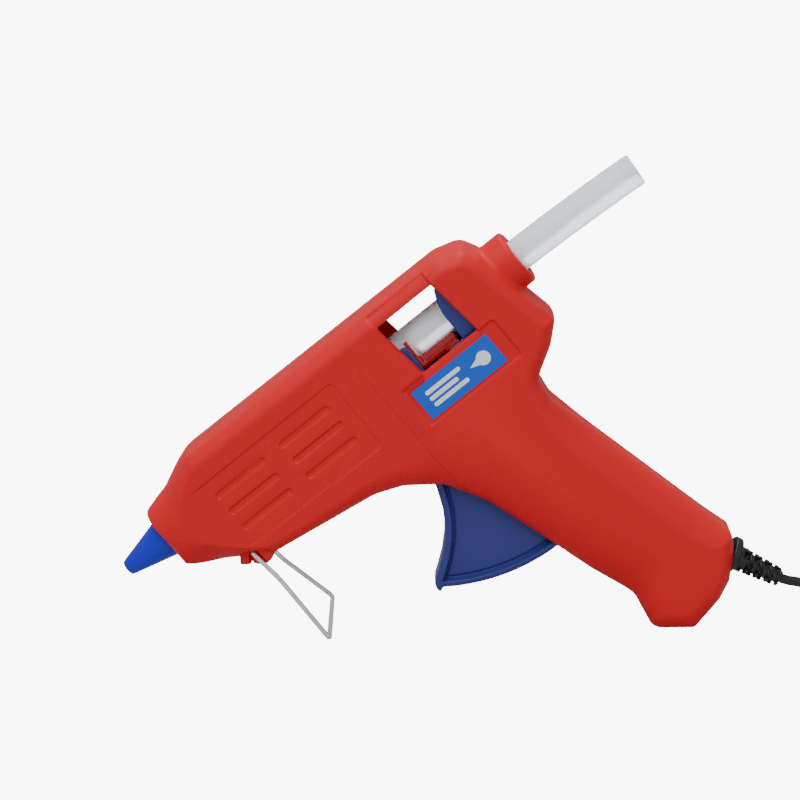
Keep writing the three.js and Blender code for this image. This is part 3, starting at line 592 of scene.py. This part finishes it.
for number, (s0, t0) in enumerate(SCREWS, 1):
    skin(f"shell_screw_{number}", screw_field, (-3, -15.2, -3), (3, 2.2, 3), 0.26, "housing", "steel",
         [f"housing_screw_{number}"], keep=0.5,
         turn=lambda p, s0=s0, t0=t0: to_floor(p + np.array([s0, SCREW_SEAT, t0])))

# %% [markdown]
# ## Label
# A thin film with rounded corners lies in its seat. Its print is a plain droplet and three bars.
# %% Label
LABEL_MIDDLE, LABEL_HALF = (131.6, -16.75), (15.8, 5.85)
LABEL_FACE = -13.2
PRINT_FACE, PRINT_THICK = LABEL_FACE - 0.05, 0.1
DROP_RADIUS, DROP_PLACE = 2.5, 10.2
BAR_START, BAR_HALF = -12.2, 0.75


def film(name, flat, face, thick, slot, replaces=()):
    """A flat film cut to an outline, with a small bevel, facing the left side."""
    ring = np.array(flat)
    middle = ring.mean(axis=0)
    inner = middle + (ring - middle) * 0.99
    layers = (face + thick, ring), (face + 0.05, ring), (face, inner)
    points = [[s, y, t] for y, places in layers for s, t in places]
    faces = [f[::-1] for f in tube_faces(3, len(flat))]
    return place(name, to_floor(points), faces, "housing", slot, replaces, smooth=False)


def plate(left, right, low, high, corner):
    """The outline of a plate with rounded corners."""
    places = (left, low), (right, low), (right, high), (left, high)
    return rounded([(*place, corner) for place in places], 4)


def on_label(points):
    """Places on the label, from its middle, as places on the barrel's side."""
    return [(LABEL_MIDDLE[0] + u, LABEL_MIDDLE[1] + v) for u, v in points]


label_edge = plate(LABEL_MIDDLE[0] - LABEL_HALF[0], LABEL_MIDDLE[0] + LABEL_HALF[0],
                   LABEL_MIDDLE[1] - LABEL_HALF[1], LABEL_MIDDLE[1] + LABEL_HALF[1], 0.5)
film("label_film", label_edge, LABEL_FACE, 0.3, "label", ["label_plate"])
drop_arc = np.radians(np.arange(-150, 151, 15))
drop = [(DROP_RADIUS * math.cos(a), DROP_RADIUS * math.sin(a)) for a in drop_arc] + [(-5.6, 0)]
film("print_drop", on_label([(u + DROP_PLACE, v) for u, v in drop]), PRINT_FACE, PRINT_THICK, "label")
for number, (level, reach) in enumerate(((2.4, 2.2), (0.0, -0.4), (-2.4, 2.2)), 1):
    bar = plate(BAR_START, reach, level - BAR_HALF, level + BAR_HALF, 0.7)
    film(f"print_bar_{number}", on_label(bar), PRINT_FACE, PRINT_THICK, "label")

# %% [markdown]
# ## Trigger
# The trigger is a plate with a fat rim. The web inside the rim is thinner, and above the mouth two
# arms reach up past the stick to push the feed cradle.
# %% Trigger
def about_pivot(radius, degrees):
    turned = math.radians(degrees)
    return PIVOT[0] + radius * math.cos(turned), PIVOT[1] + radius * math.sin(turned)


TRIGGER_REACH = 67.8
FINGER_EDGE = [(101.2, -40), (99.6, -44.6), (98.9, -46.1), (96.9, -50.7), (94.2, -55), (91.2, -58.7),
               (86.6, -63.1), (82.1, -66.5), (78.9, -68.7), (77.5, -70.2), (77.0, -72.0), (77.4, -73.4)]
LOWER_EDGE = [about_pivot(TRIGGER_REACH, a) for a in np.linspace(-126.2, -86, 26)]
TRIGGER_EDGE = FINGER_EDGE + LOWER_EDGE + [(124.3, -18.0), (114.3, -18.0)]
CRANK_TIP = about_pivot(18, 82)
RIM_ROUND = 2.3
ARM = rounded([(115.3, -18, 0), (123.3, -18, 0), (CRANK_TIP[0] + 2.4, CRANK_TIP[1] + 2, 1.8),
               (CRANK_TIP[0] - 2.4, CRANK_TIP[1] + 2, 1.8)], 4)


def trigger_field(s, y, t):
    inset = -outline(s, t, TRIGGER_EDGE)
    rim = 1 - ease(RIM_ROUND, 3.1, inset)
    bead = 0.5 * np.exp(-(((inset - 3.2) / 0.5) ** 2))
    half = 3.6 + 2.4 * rim - bead
    u = np.maximum(1 - inset / RIM_ROUND, 0)
    v = np.maximum(np.abs(y) - (half - RIM_ROUND), 0) / RIM_ROUND
    web = (np.hypot(u, v) - 1) * RIM_ROUND
    hub = slab(disc(s, t, PIVOT, 5.0), y, -10.2, 10.2, 0.5)
    arms = slab(outline(s, t, ARM), np.abs(y), 8.2, 10.2, 0.4)
    pins = slab(disc(s, t, CRANK_TIP, 1.5), np.abs(y), 6.6, 10.2, 0.2)
    whole = np.minimum(np.minimum(soft_min(web, hub, 1.0), arms), pins)
    return cut(whole, disc(s, t, PIVOT, 2.3) + 0 * y)


skin("finger_trigger", trigger_field, (76, -10.4, -87), (126, 10.4, 3), 0.45,
     "trigger", "trigger", ["trigger"], keep=0.3)

# %% [markdown]
# ## Stick gripper
# A toothed fin straddles the stick behind the window and bites it when the trigger is squeezed.
# %% Gripper
GRIP_PIVOT = (136.0, -10.6)
PIN_HOLE, GRIP_ROOM, CRADLE_ROOM = 1.3, 6.2, 6.3
CHEEK = rounded([(133.4, -13.2, 2), (146.0, -13.2, 2), (147.0, 4, 3), (146.2, 10.4, 0.8), (143.3, 10.6, 0.6),
                 (141.4, 6.6, 8), (140.3, 2.0, 6), (140.2, -8.4, 1), (133.4, -8.4, 2)], 5)


def gripper_field(s, y, t):
    cheeks = slab(outline(s, t, CHEEK), np.abs(y), 8.2, 9.8, 0.5)
    bar = slab(np.maximum(np.abs(s - 142.3) - 1.3, np.abs(t + 9.1) - 2.4), y, -9.2, 9.2, 0.2)
    whole = soft_min(cheeks, bar, 0.6)
    tooth = np.maximum(np.maximum((s - 141) * 0.5 + t + 6.6, 140.9 - s), np.maximum(np.abs(y) - 4, -8 - t))
    whole = cut(np.minimum(whole, tooth), disc(s, t, GRIP_PIVOT, PIN_HOLE) + 0 * y)
    return np.maximum(whole, GRIP_ROOM - np.hypot(y, t))


skin("grip_fin", gripper_field, (133, -10, -13.6), (147.6, 10, 11.4), 0.34, "gripper", "gripper",
     ["stick_gripper"], keep=0.4)

# %% [markdown]
# ## Feed cradle
# A glossy sledge that the stick lies on, seen as dark red rails through the window.
# %% Cradle
def cradle_field(s, y, t):
    ears = slab(np.maximum(np.abs(s - 120.75) - 4.25, np.maximum(-8.6 - t, t - 2.4)), y, -7.6, 7.6, 0.4)
    trough = slab(np.maximum(np.abs(s - 127.5) - 11.1, np.maximum(-8.6 - t, t + 4.8)), y, -5.6, 5.6, 0.4)
    rib = slab(np.maximum(np.abs(s - 131) - 7.5, np.maximum(-8.6 - t, t + 7.0)), y, -7.4, 7.4, 0.3)
    foot = slab(np.maximum(np.abs(s - 136) - 2.6, np.maximum(-13.0 - t, t + 8.0)), y, -7.6, 7.6, 0.4)
    whole = soft_min(soft_min(ears, trough, 0.5), np.minimum(rib, foot), 0.5)
    whole = np.maximum(whole, CRADLE_ROOM - np.hypot(y, t))
    slot = np.maximum(np.abs(s - CRANK_TIP[0]) - 1.8, CRANK_TIP[1] - 2.5 - t)
    whole = cut(whole, slot + 0 * y)
    return cut(whole, disc(s, t, GRIP_PIVOT, PIN_HOLE) + 0 * y)


skin("stick_cradle", cradle_field, (116, -7.8, -13.4), (139, 7.8, 2.8), 0.4, "feed_cradle", "cradle",
     ["feed_cradle"], keep=0.4)

# %% [markdown]
# ## Glue stick
# A milky bar of hot-melt glue. The free end droops a little, its cut end has a soft edge, and the
# gripper has left faint rings where it bit.
# %% Glue stick
STICK_RADIUS, COLLAR_S, STICK_END = 5.6, 170.6, 218.3


def droop(s):
    return -2.05 * np.maximum(0, (s - COLLAR_S) / (STICK_END - COLLAR_S)) ** 1.6


along = np.concatenate([[62.0, 62.15, 62.5], np.linspace(64, 217, 90), [217.8, 218.15, 218.3]])
bulk = np.concatenate([[5.0, 5.35, 5.55], np.full(90, STICK_RADIUS), [5.52, 5.35, 5.1]])
bite = np.exp(-(((along % 6.2) - 3.1) / 0.5) ** 2) * (along > 112) * (along < 150)
bulk = bulk - 0.05 * bite
stick_points, stick_faces = sweep(np.stack([along, 0 * along, droop(along)], axis=1), bulk, 56)
place("hot_melt_stick", to_floor(stick_points), stick_faces, "stick", "glue", ["glue_stick"])

# %% [markdown]
# ## Wire stand
# One length of bright wire: across through the lug, down, out at a knee, and across the foot.
# %% Wire stand
WIRE_RADIUS = 0.85
LEG_SLOPE = math.radians(46.0)
STAND_ANGLE = TILT + LEG_SLOPE
LEG_LENGTH = (floor_of(*STAND_PIVOT)[1] - WIRE_RADIUS) / math.sin(LEG_SLOPE)
KNEE, FOOT_HALF = 13.0, 20.1


def leg(y, down):
    """A place on a leg, so far across and so far down from the pivot."""
    s, t = STAND_PIVOT
    return [s + down * math.cos(STAND_ANGLE), y, t - down * math.sin(STAND_ANGLE)]


def bend(points, radius, steps=6):
    """A polyline whose inner corners are turned on an arc."""
    p = [np.array(q, float) for q in points]
    out = [p[0]]
    for before, at, after in zip(p, p[1:], p[2:]):
        u, v = before - at, after - at
        u, v = u / np.linalg.norm(u), v / np.linalg.norm(v)
        for k in np.linspace(0, 1, steps + 1):
            out.append((1 - k) ** 2 * (at + u * radius) + 2 * k * (1 - k) * at + k * k * (at + v * radius))
    return np.array([*out, p[-1]])


wire = bend([leg(0.4, 0), leg(LEG_SIDE, 0), leg(LEG_SIDE, KNEE), leg(FOOT_HALF, LEG_LENGTH),
             leg(-FOOT_HALF, LEG_LENGTH), leg(-LEG_SIDE, KNEE), leg(-LEG_SIDE, 0), leg(-0.4, 0)], 1.9)
points, faces = sweep(wire, WIRE_RADIUS, 18)
place("bent_wire_stand", to_floor(points), faces, "stand", "wire", ["wire_stand"])

# %% [markdown]
# ## Return spring
# A thin coil of wire behind the feed cradle, made with the same sweep.
# %% Spring
SPRING_START, SPRING_LENGTH, SPRING_LEVEL = 139.6, 17.4, -15.4
SPRING_RADIUS, SPRING_TURNS, SPRING_WIRE = 2.1, 12, 0.28
share = np.linspace(0, 1, SPRING_TURNS * 14 + 1)
turn = share * 2 * SPRING_TURNS * math.pi
helix = np.stack([SPRING_START + SPRING_LENGTH * share, SPRING_RADIUS * np.cos(turn),
                  SPRING_LEVEL + SPRING_RADIUS * np.sin(turn)], axis=1)
points, faces = sweep(helix, SPRING_WIRE, 8)
place("pull_spring", to_floor(points), faces, "housing", "steel", ["return_spring"])

# %% [markdown]
# ## Strain relief
# A tapered rubber boot with a disc against the handle. Staggered windows let it bend with the cord.
# %% Strain relief
BOOT_START = np.array([102.5, 0.0, 23.9])
BOOT_TILT = math.radians(-26.0)


def boot_field(a, y, b):
    """a runs out along the boot, b stands square to it."""
    ring = np.hypot(y, b)
    disc_part = slab(ring - 6.6, a, 0.0, 3.0, 0.9)
    radius = np.interp(a + 0 * b, [0, 3, 6, 19, 24], [4.4, 4.4, 4.3, 3.4, 3.1])
    boot = slab(ring - radius, a, -6.0, 20.0, 0.8)
    turn = np.arctan2(b, y)
    for row in range(2):
        for k in range(4):
            middle = 5.7 + 3.9 * k + 1.95 * row
            off = (turn - row * math.pi / 4 + math.pi / 2) % (math.pi / 2) - math.pi / 4
            pocket = np.maximum(np.abs(a - middle) - 1.15, np.abs(off) * ring - 1.45)
            boot = soft_max(boot, -np.maximum(pocket, 2.3 - ring), 0.5)
    return np.maximum(soft_min(disc_part, boot, 0.8), CORD_RADIUS + 0.05 - ring)


def to_boot(points):
    a, y, b = np.asarray(points, float).T
    c, n = math.cos(BOOT_TILT), math.sin(BOOT_TILT)
    return np.stack([BOOT_START[0] + a * c - b * n, y, BOOT_START[2] + a * n + b * c], axis=1) * MM


skin("relief_boot", boot_field, (-6.4, -7, -7), (20.6, 7, 7), 0.34, "housing", "cord", ["strain_relief"],
     keep=0.5, turn=to_boot)

# %% [markdown]
# ## Plug and tie
# A flat two-pin plug with a waisted grip, and a soft strap round the coil.
# %% Plug
PLUG_X, PLUG_Y, PLUG_LENGTH, PLUG_HALF = 202.0, -7.5, 35.0, 6.8
PLUG_ROUND, PIN_SIDE, PIN_LENGTH = 3.2, 9.3, 19
PLUG_PLAN = rounded([(-4, 0, 2), (4, 0, 2), (6.6, 13, 9), (8.8, 20, 8), (12.9, 27.4, 5), (12.9, 35, 1.4),
                     (-12.9, 35, 1.4), (-12.9, 27.4, 5), (-8.8, 20, 8), (-6.6, 13, 9)], 5)


def plug_field(x, z, y):
    half = PLUG_HALF - 2.4 * ease(14, 2, y)
    flat = outline(x, y, PLUG_PLAN)
    u = np.maximum(1 + flat / PLUG_ROUND, 0)
    v = np.maximum(np.abs(z) - (half - PLUG_ROUND), 0) / PLUG_ROUND
    body = (np.hypot(u, v) - 1) * PLUG_ROUND
    rib = 0.22 * np.cos((y - 15) * 2 * math.pi / 2.6) * ease(9, 12, y) * ease(24, 21, y)
    body = body - rib * ease(-4.5, -2.5, flat)
    for side in (-1, 1):
        body = cut(body, np.maximum(np.hypot(x - side * PIN_SIDE, z) - 2.05, 29 - y))
    return cut(body, np.maximum(np.hypot(x, z) - 1.75, y - 3.5))


def to_plug(points):
    """The plug lies along the floor's x: its width is y and its length is x."""
    across, up, along = np.asarray(points, float).T
    return np.stack([PLUG_X + along, PLUG_Y + across, 0.35 + PLUG_HALF + up], axis=1) * MM


skin("two_pin_plug", plug_field, (-13.4, -7.2, -0.4), (13.4, 7.2, 35.6), 0.6, "housing", "plug",
     ["plug_body"], keep=0.5, turn=to_plug)
for number, side in ((1, -1), (2, 1)):
    end = PLUG_LENGTH + PIN_LENGTH
    along = np.array([30, end - 1.6, end - 0.8, end - 0.25, end])
    pin = np.stack([0 * along + side * PIN_SIDE, 0 * along, along], axis=1)
    points, faces = sweep(to_plug(pin), np.array([1.98, 1.98, 1.8, 1.4, 0.9]) * MM, 28)
    place(f"contact_pin_{number}", points, faces, "housing", "brass", [f"plug_pin_{number}"])


# %% Tie
def tie_field(over, up, out):
    """over runs round the coil, out away from its middle."""
    off = np.abs(out - COIL_MEAN)
    band = np.hypot(np.maximum(off - 4.9, 0), np.maximum(np.abs(up - 7.75) - 5.6, 0)) - 1.8
    band = slab(np.abs(band) - 0.3, over, -2.2, 2.2, 0.2)
    buckle = slab(np.maximum(off - 2.6, np.abs(up - 15.0) - 1.1), over, -3.2, 3.2, 0.3)
    return np.minimum(band, buckle)


def to_coil(points):
    over, up, out = np.asarray(points, float).T
    return np.stack([COIL_X - over, COIL_Y + out, up], axis=1) * MM


skin("soft_tie", tie_field, (-3.4, -0.2, 12.6), (3.4, 16.4, 27.4), 0.3, "housing", "tie", ["cord_tie"],
     keep=0.4, turn=to_coil)

# %% [markdown]
# ## Wear and mould texture
# Moulded plastic is never one colour. A shared group gives a cloudy tone change, a roughness that
# follows it, and a fine eroded grain for bump.
# %% Moulded surface group
def moulded_group():
    group = bpy.data.node_groups.new("moulded_surface", "ShaderNodeTree")
    colour, number = "NodeSocketColor", "NodeSocketFloat"
    takes = {"Colour": (colour, (1, 1, 1, 1)), "Tone change": (number, 0.1), "Grain size": (number, 900.0),
             "Roughness": (number, 0.4)}
    for label, (kind, default) in takes.items():
        group.interface.new_socket(label, in_out="INPUT", socket_type=kind).default_value = default
    for label, kind in {"Colour": colour, "Roughness": number, "Height": number}.items():
        group.interface.new_socket(label, in_out="OUTPUT", socket_type=kind)
    nodes, links = group.nodes, group.links
    enter, leave = nodes.new("NodeGroupInput"), nodes.new("NodeGroupOutput")
    where = nodes.new("ShaderNodeTexCoord")
    cloud, grain = nodes.new("ShaderNodeTexNoise"), nodes.new("ShaderNodeTexNoise")
    cloud.inputs["Scale"].default_value = 38.0
    cloud.inputs["Detail"].default_value = 3.0
    grain.inputs["Detail"].default_value = 2.0
    links.new(where.outputs["Object"], cloud.inputs["Vector"])
    links.new(where.outputs["Object"], grain.inputs["Vector"])
    links.new(enter.outputs["Grain size"], grain.inputs["Scale"])
    swing = nodes.new("ShaderNodeMapRange")
    swing.inputs["To Min"].default_value = -1.0
    swing.inputs["To Max"].default_value = 1.0
    links.new(cloud.outputs["Fac"], swing.inputs["Value"])
    tone = nodes.new("ShaderNodeMath")
    tone.operation = "MULTIPLY_ADD"
    tone.inputs[2].default_value = 1.0
    links.new(swing.outputs["Result"], tone.inputs[0])
    links.new(enter.outputs["Tone change"], tone.inputs[1])
    tinted = nodes.new("ShaderNodeVectorMath")
    tinted.operation = "SCALE"
    links.new(enter.outputs["Colour"], tinted.inputs[0])
    links.new(tone.outputs["Value"], tinted.inputs["Scale"])
    links.new(tinted.outputs["Vector"], leave.inputs["Colour"])
    rough = nodes.new("ShaderNodeMath")
    rough.operation = "MULTIPLY_ADD"
    rough.inputs[1].default_value = 0.12
    links.new(swing.outputs["Result"], rough.inputs[0])
    links.new(enter.outputs["Roughness"], rough.inputs[2])
    links.new(rough.outputs["Value"], leave.inputs["Roughness"])
    links.new(grain.outputs["Fac"], leave.inputs["Height"])
    return group


MOULDED = moulded_group()


def linear(code):
    """A paint-book colour code as linear light."""
    out = []
    for i in (0, 2, 4):
        v = int(code[i:i + 2], 16) / 255
        out.append(v / 12.92 if v <= 0.04045 else ((v + 0.055) / 1.055) ** 2.4)
    return (*out, 1.0)


def finish(name, code, roughness, tone=0.05, grain=900.0, bump=0.12, height=0.00003, **sockets):
    """A moulded, cast or rolled finish. Extra sockets are set on the shader itself."""
    material = bpy.data.materials.new(name)
    material.use_nodes = True
    nodes, links = material.node_tree.nodes, material.node_tree.links
    shader = nodes["Principled BSDF"]
    surface = nodes.new("ShaderNodeGroup")
    surface.node_tree = MOULDED
    surface.inputs["Colour"].default_value = linear(code)
    surface.inputs["Tone change"].default_value = tone
    surface.inputs["Grain size"].default_value = grain
    surface.inputs["Roughness"].default_value = roughness
    relief = nodes.new("ShaderNodeBump")
    relief.inputs["Strength"].default_value = bump
    relief.inputs["Distance"].default_value = height
    links.new(surface.outputs["Colour"], shader.inputs["Base Color"])
    links.new(surface.outputs["Roughness"], shader.inputs["Roughness"])
    links.new(surface.outputs["Height"], relief.inputs["Height"])
    links.new(relief.outputs["Normal"], shader.inputs["Normal"])
    for socket, value in sockets.items():
        shader.inputs[socket.replace("_", " ")].default_value = value
    return material


# %% [markdown]
# ## Finishes
# One material for each record slot, in the maker's words.
# %% Materials
FINISHES = {
    "housing": finish("satin red ABS", "D2181F", 0.5, tone=0.035, grain=1500, bump=0.16,
                      Specular_IOR_Level=0.22),
    "label": finish("blue printed film", "1058CE", 0.4, tone=0.02, grain=500, bump=0.04,
                    Specular_IOR_Level=0.35),
    "print": finish("white print", "E9EEF5", 0.5, tone=0.02, grain=500, bump=0.03),
    "sleeve": finish("blue silicone", "1420C0", 0.5, tone=0.05, grain=700, bump=0.1, Specular_IOR_Level=0.35),
    "guide": finish("brick silicone", "B5503C", 0.6, tone=0.06, grain=600, bump=0.1),
    "brass": finish("turned brass", "C59B4E", 0.3, tone=0.05, grain=2500, bump=0.1, Metallic=1.0),
    "chamber": finish("cast aluminium", "A9ACB0", 0.5, tone=0.06, grain=1100, bump=0.3, Metallic=1.0),
    "steel": finish("zinc plate", "B9BBBE", 0.32, tone=0.05, grain=1800, bump=0.08, Metallic=1.0),
    "wire": finish("bright nickel wire", "EDECEE", 0.2, tone=0.04, grain=1600, bump=0.05, Metallic=0.8),
    "ceramic": finish("fired ceramic", "D8D4C8", 0.7, tone=0.05, grain=900, bump=0.2),
    "film": finish("amber film", "5A3420", 0.3, tone=0.1, grain=400, bump=0.05),
    "cradle": finish("glossy dark red ABS", "A3121A", 0.16, tone=0.05, grain=900, bump=0.04, Coat_Weight=0.3),
    "gripper": finish("navy ABS", "1F2C80", 0.3, tone=0.05, grain=1000, bump=0.08),
    "trigger": finish("blue ABS", "2E3680", 0.42, tone=0.06, grain=1200, bump=0.16, Specular_IOR_Level=0.35),
    "glue": finish("hot-melt glue", "F4F8FC", 0.3, tone=0.03, grain=160, bump=0.05,
                   Transmission_Weight=0.4, IOR=1.48),
    "cord": finish("black cord PVC", "131416", 0.42, tone=0.12, grain=1500, bump=0.1),
    "plug": finish("black plug PVC", "17181A", 0.5, tone=0.1, grain=1800, bump=0.2),
    "lead_brown": finish("brown insulation", "5A3420", 0.4, tone=0.05),
    "lead_blue": finish("blue insulation", "24368A", 0.4, tone=0.05),
    "tie": finish("navy strap", "1F2F7D", 0.55, tone=0.06, grain=1400, bump=0.2),
}
slot_of = {part["node"]: part["material_slot"] for part in frame["record"]["subparts"]}
for node, piece in frame["nodes"].items():
    piece.data.materials.clear()
    piece.data.materials.append(FINISHES[slot_of[node]])
PIECE_FINISH = {
    "shell_left": "housing", "shell_right": "housing", "silicone_sleeve": "sleeve", "brass_nozzle": "brass",
    "label_film": "label", "print_drop": "print", "print_bar_1": "print", "print_bar_2": "print",
    "print_bar_3": "print", "finger_trigger": "trigger", "grip_fin": "gripper", "stick_cradle": "cradle",
    "hot_melt_stick": "glue", "bent_wire_stand": "wire", "pull_spring": "steel", "relief_boot": "cord",
    "mains_cord": "cord", "two_pin_plug": "plug", "contact_pin_1": "brass", "contact_pin_2": "brass",
    "soft_tie": "tie", **{f"shell_screw_{n}": "steel" for n in range(1, 7)},
}
for name, finish_name in PIECE_FINISH.items():
    bpy.data.objects[name].data.materials.append(FINISHES[finish_name])
print(len(FINISHES), "finishes on", len(PIECE_FINISH) + len(frame["nodes"]), "pieces")

# %% [markdown]
# ## Studio
# A near-white floor and sky, one broad soft light above and to the left, a weak fill and a light
# from above. Floor and sky are brighter where they are looked at than in the light they give.
# %% Floor and lights
LIGHT_AIM = (0, 0, 0.07)


def add_floor(size, drop, seen):
    """A grey floor just under the gun, which glows only where it is looked at."""
    corners = (-size, -size), (size, -size), (size, size), (-size, size)
    mesh = bpy.data.meshes.new("floor")
    mesh.from_pydata([(x, y, -drop) for x, y in corners], [], [(0, 1, 2, 3)])
    floor = bpy.data.objects.new("floor", mesh)
    bpy.context.scene.collection.objects.link(floor)
    material = bpy.data.materials.new("pale floor")
    material.use_nodes = True
    nodes, links = material.node_tree.nodes, material.node_tree.links
    shader = nodes["Principled BSDF"]
    shader.inputs["Base Color"].default_value = (0.5, 0.5, 0.5, 1)
    shader.inputs["Roughness"].default_value = 1.0
    shader.inputs["Emission Color"].default_value = (1, 1, 1, 1)
    ray, glow = nodes.new("ShaderNodeLightPath"), nodes.new("ShaderNodeMath")
    glow.operation = "MULTIPLY"
    glow.inputs[1].default_value = seen
    links.new(ray.outputs["Is Camera Ray"], glow.inputs[0])
    links.new(glow.outputs["Value"], shader.inputs["Emission Strength"])
    mesh.materials.append(material)


def add_sky(ambient, seen):
    """A white sky: soft in the light it gives, bright where it is looked at or seen through glue."""
    world = bpy.data.worlds.new("studio")
    world.use_nodes = True
    nodes, links = world.node_tree.nodes, world.node_tree.links
    ray, bright = nodes.new("ShaderNodeLightPath"), nodes.new("ShaderNodeMapRange")
    sky = nodes["Background"]
    sky.inputs["Color"].default_value = (1.0, 1.0, 1.0, 1.0)
    either = nodes.new("ShaderNodeMath")
    either.operation = "MAXIMUM"
    bright.inputs["To Min"].default_value = ambient
    bright.inputs["To Max"].default_value = seen
    links.new(ray.outputs["Is Camera Ray"], either.inputs[0])
    links.new(ray.outputs["Is Transmission Ray"], either.inputs[1])
    links.new(either.outputs["Value"], bright.inputs["Value"])
    links.new(bright.outputs["Result"], sky.inputs["Strength"])
    bpy.context.scene.world = world


def add_light(name, place_at, size, watts):
    """A white square light, turned towards the middle of the gun."""
    data = bpy.data.lights.new(name, "AREA")
    data.size = size
    data.energy = watts
    light = bpy.data.objects.new(name, data)
    light.location = place_at
    way = np.array(LIGHT_AIM) - np.array(place_at)
    flat = math.hypot(way[0], way[1])
    light.rotation_euler = (math.pi / 2 + math.atan2(way[2], flat), 0, math.atan2(-way[0], way[1]))
    bpy.context.scene.collection.objects.link(light)


add_floor(6.0, 0.0006, 8.4)
add_light("key", (-0.35, -0.75, 1.2), 0.8, 13.0)
add_light("fill", (0.9, -1.0, 0.4), 1.0, 1.6)
add_light("top", (-0.1, 0.4, 1.3), 0.7, 9.0)
add_sky(0.5, 9.0)
print("a floor, a sky and three lights")
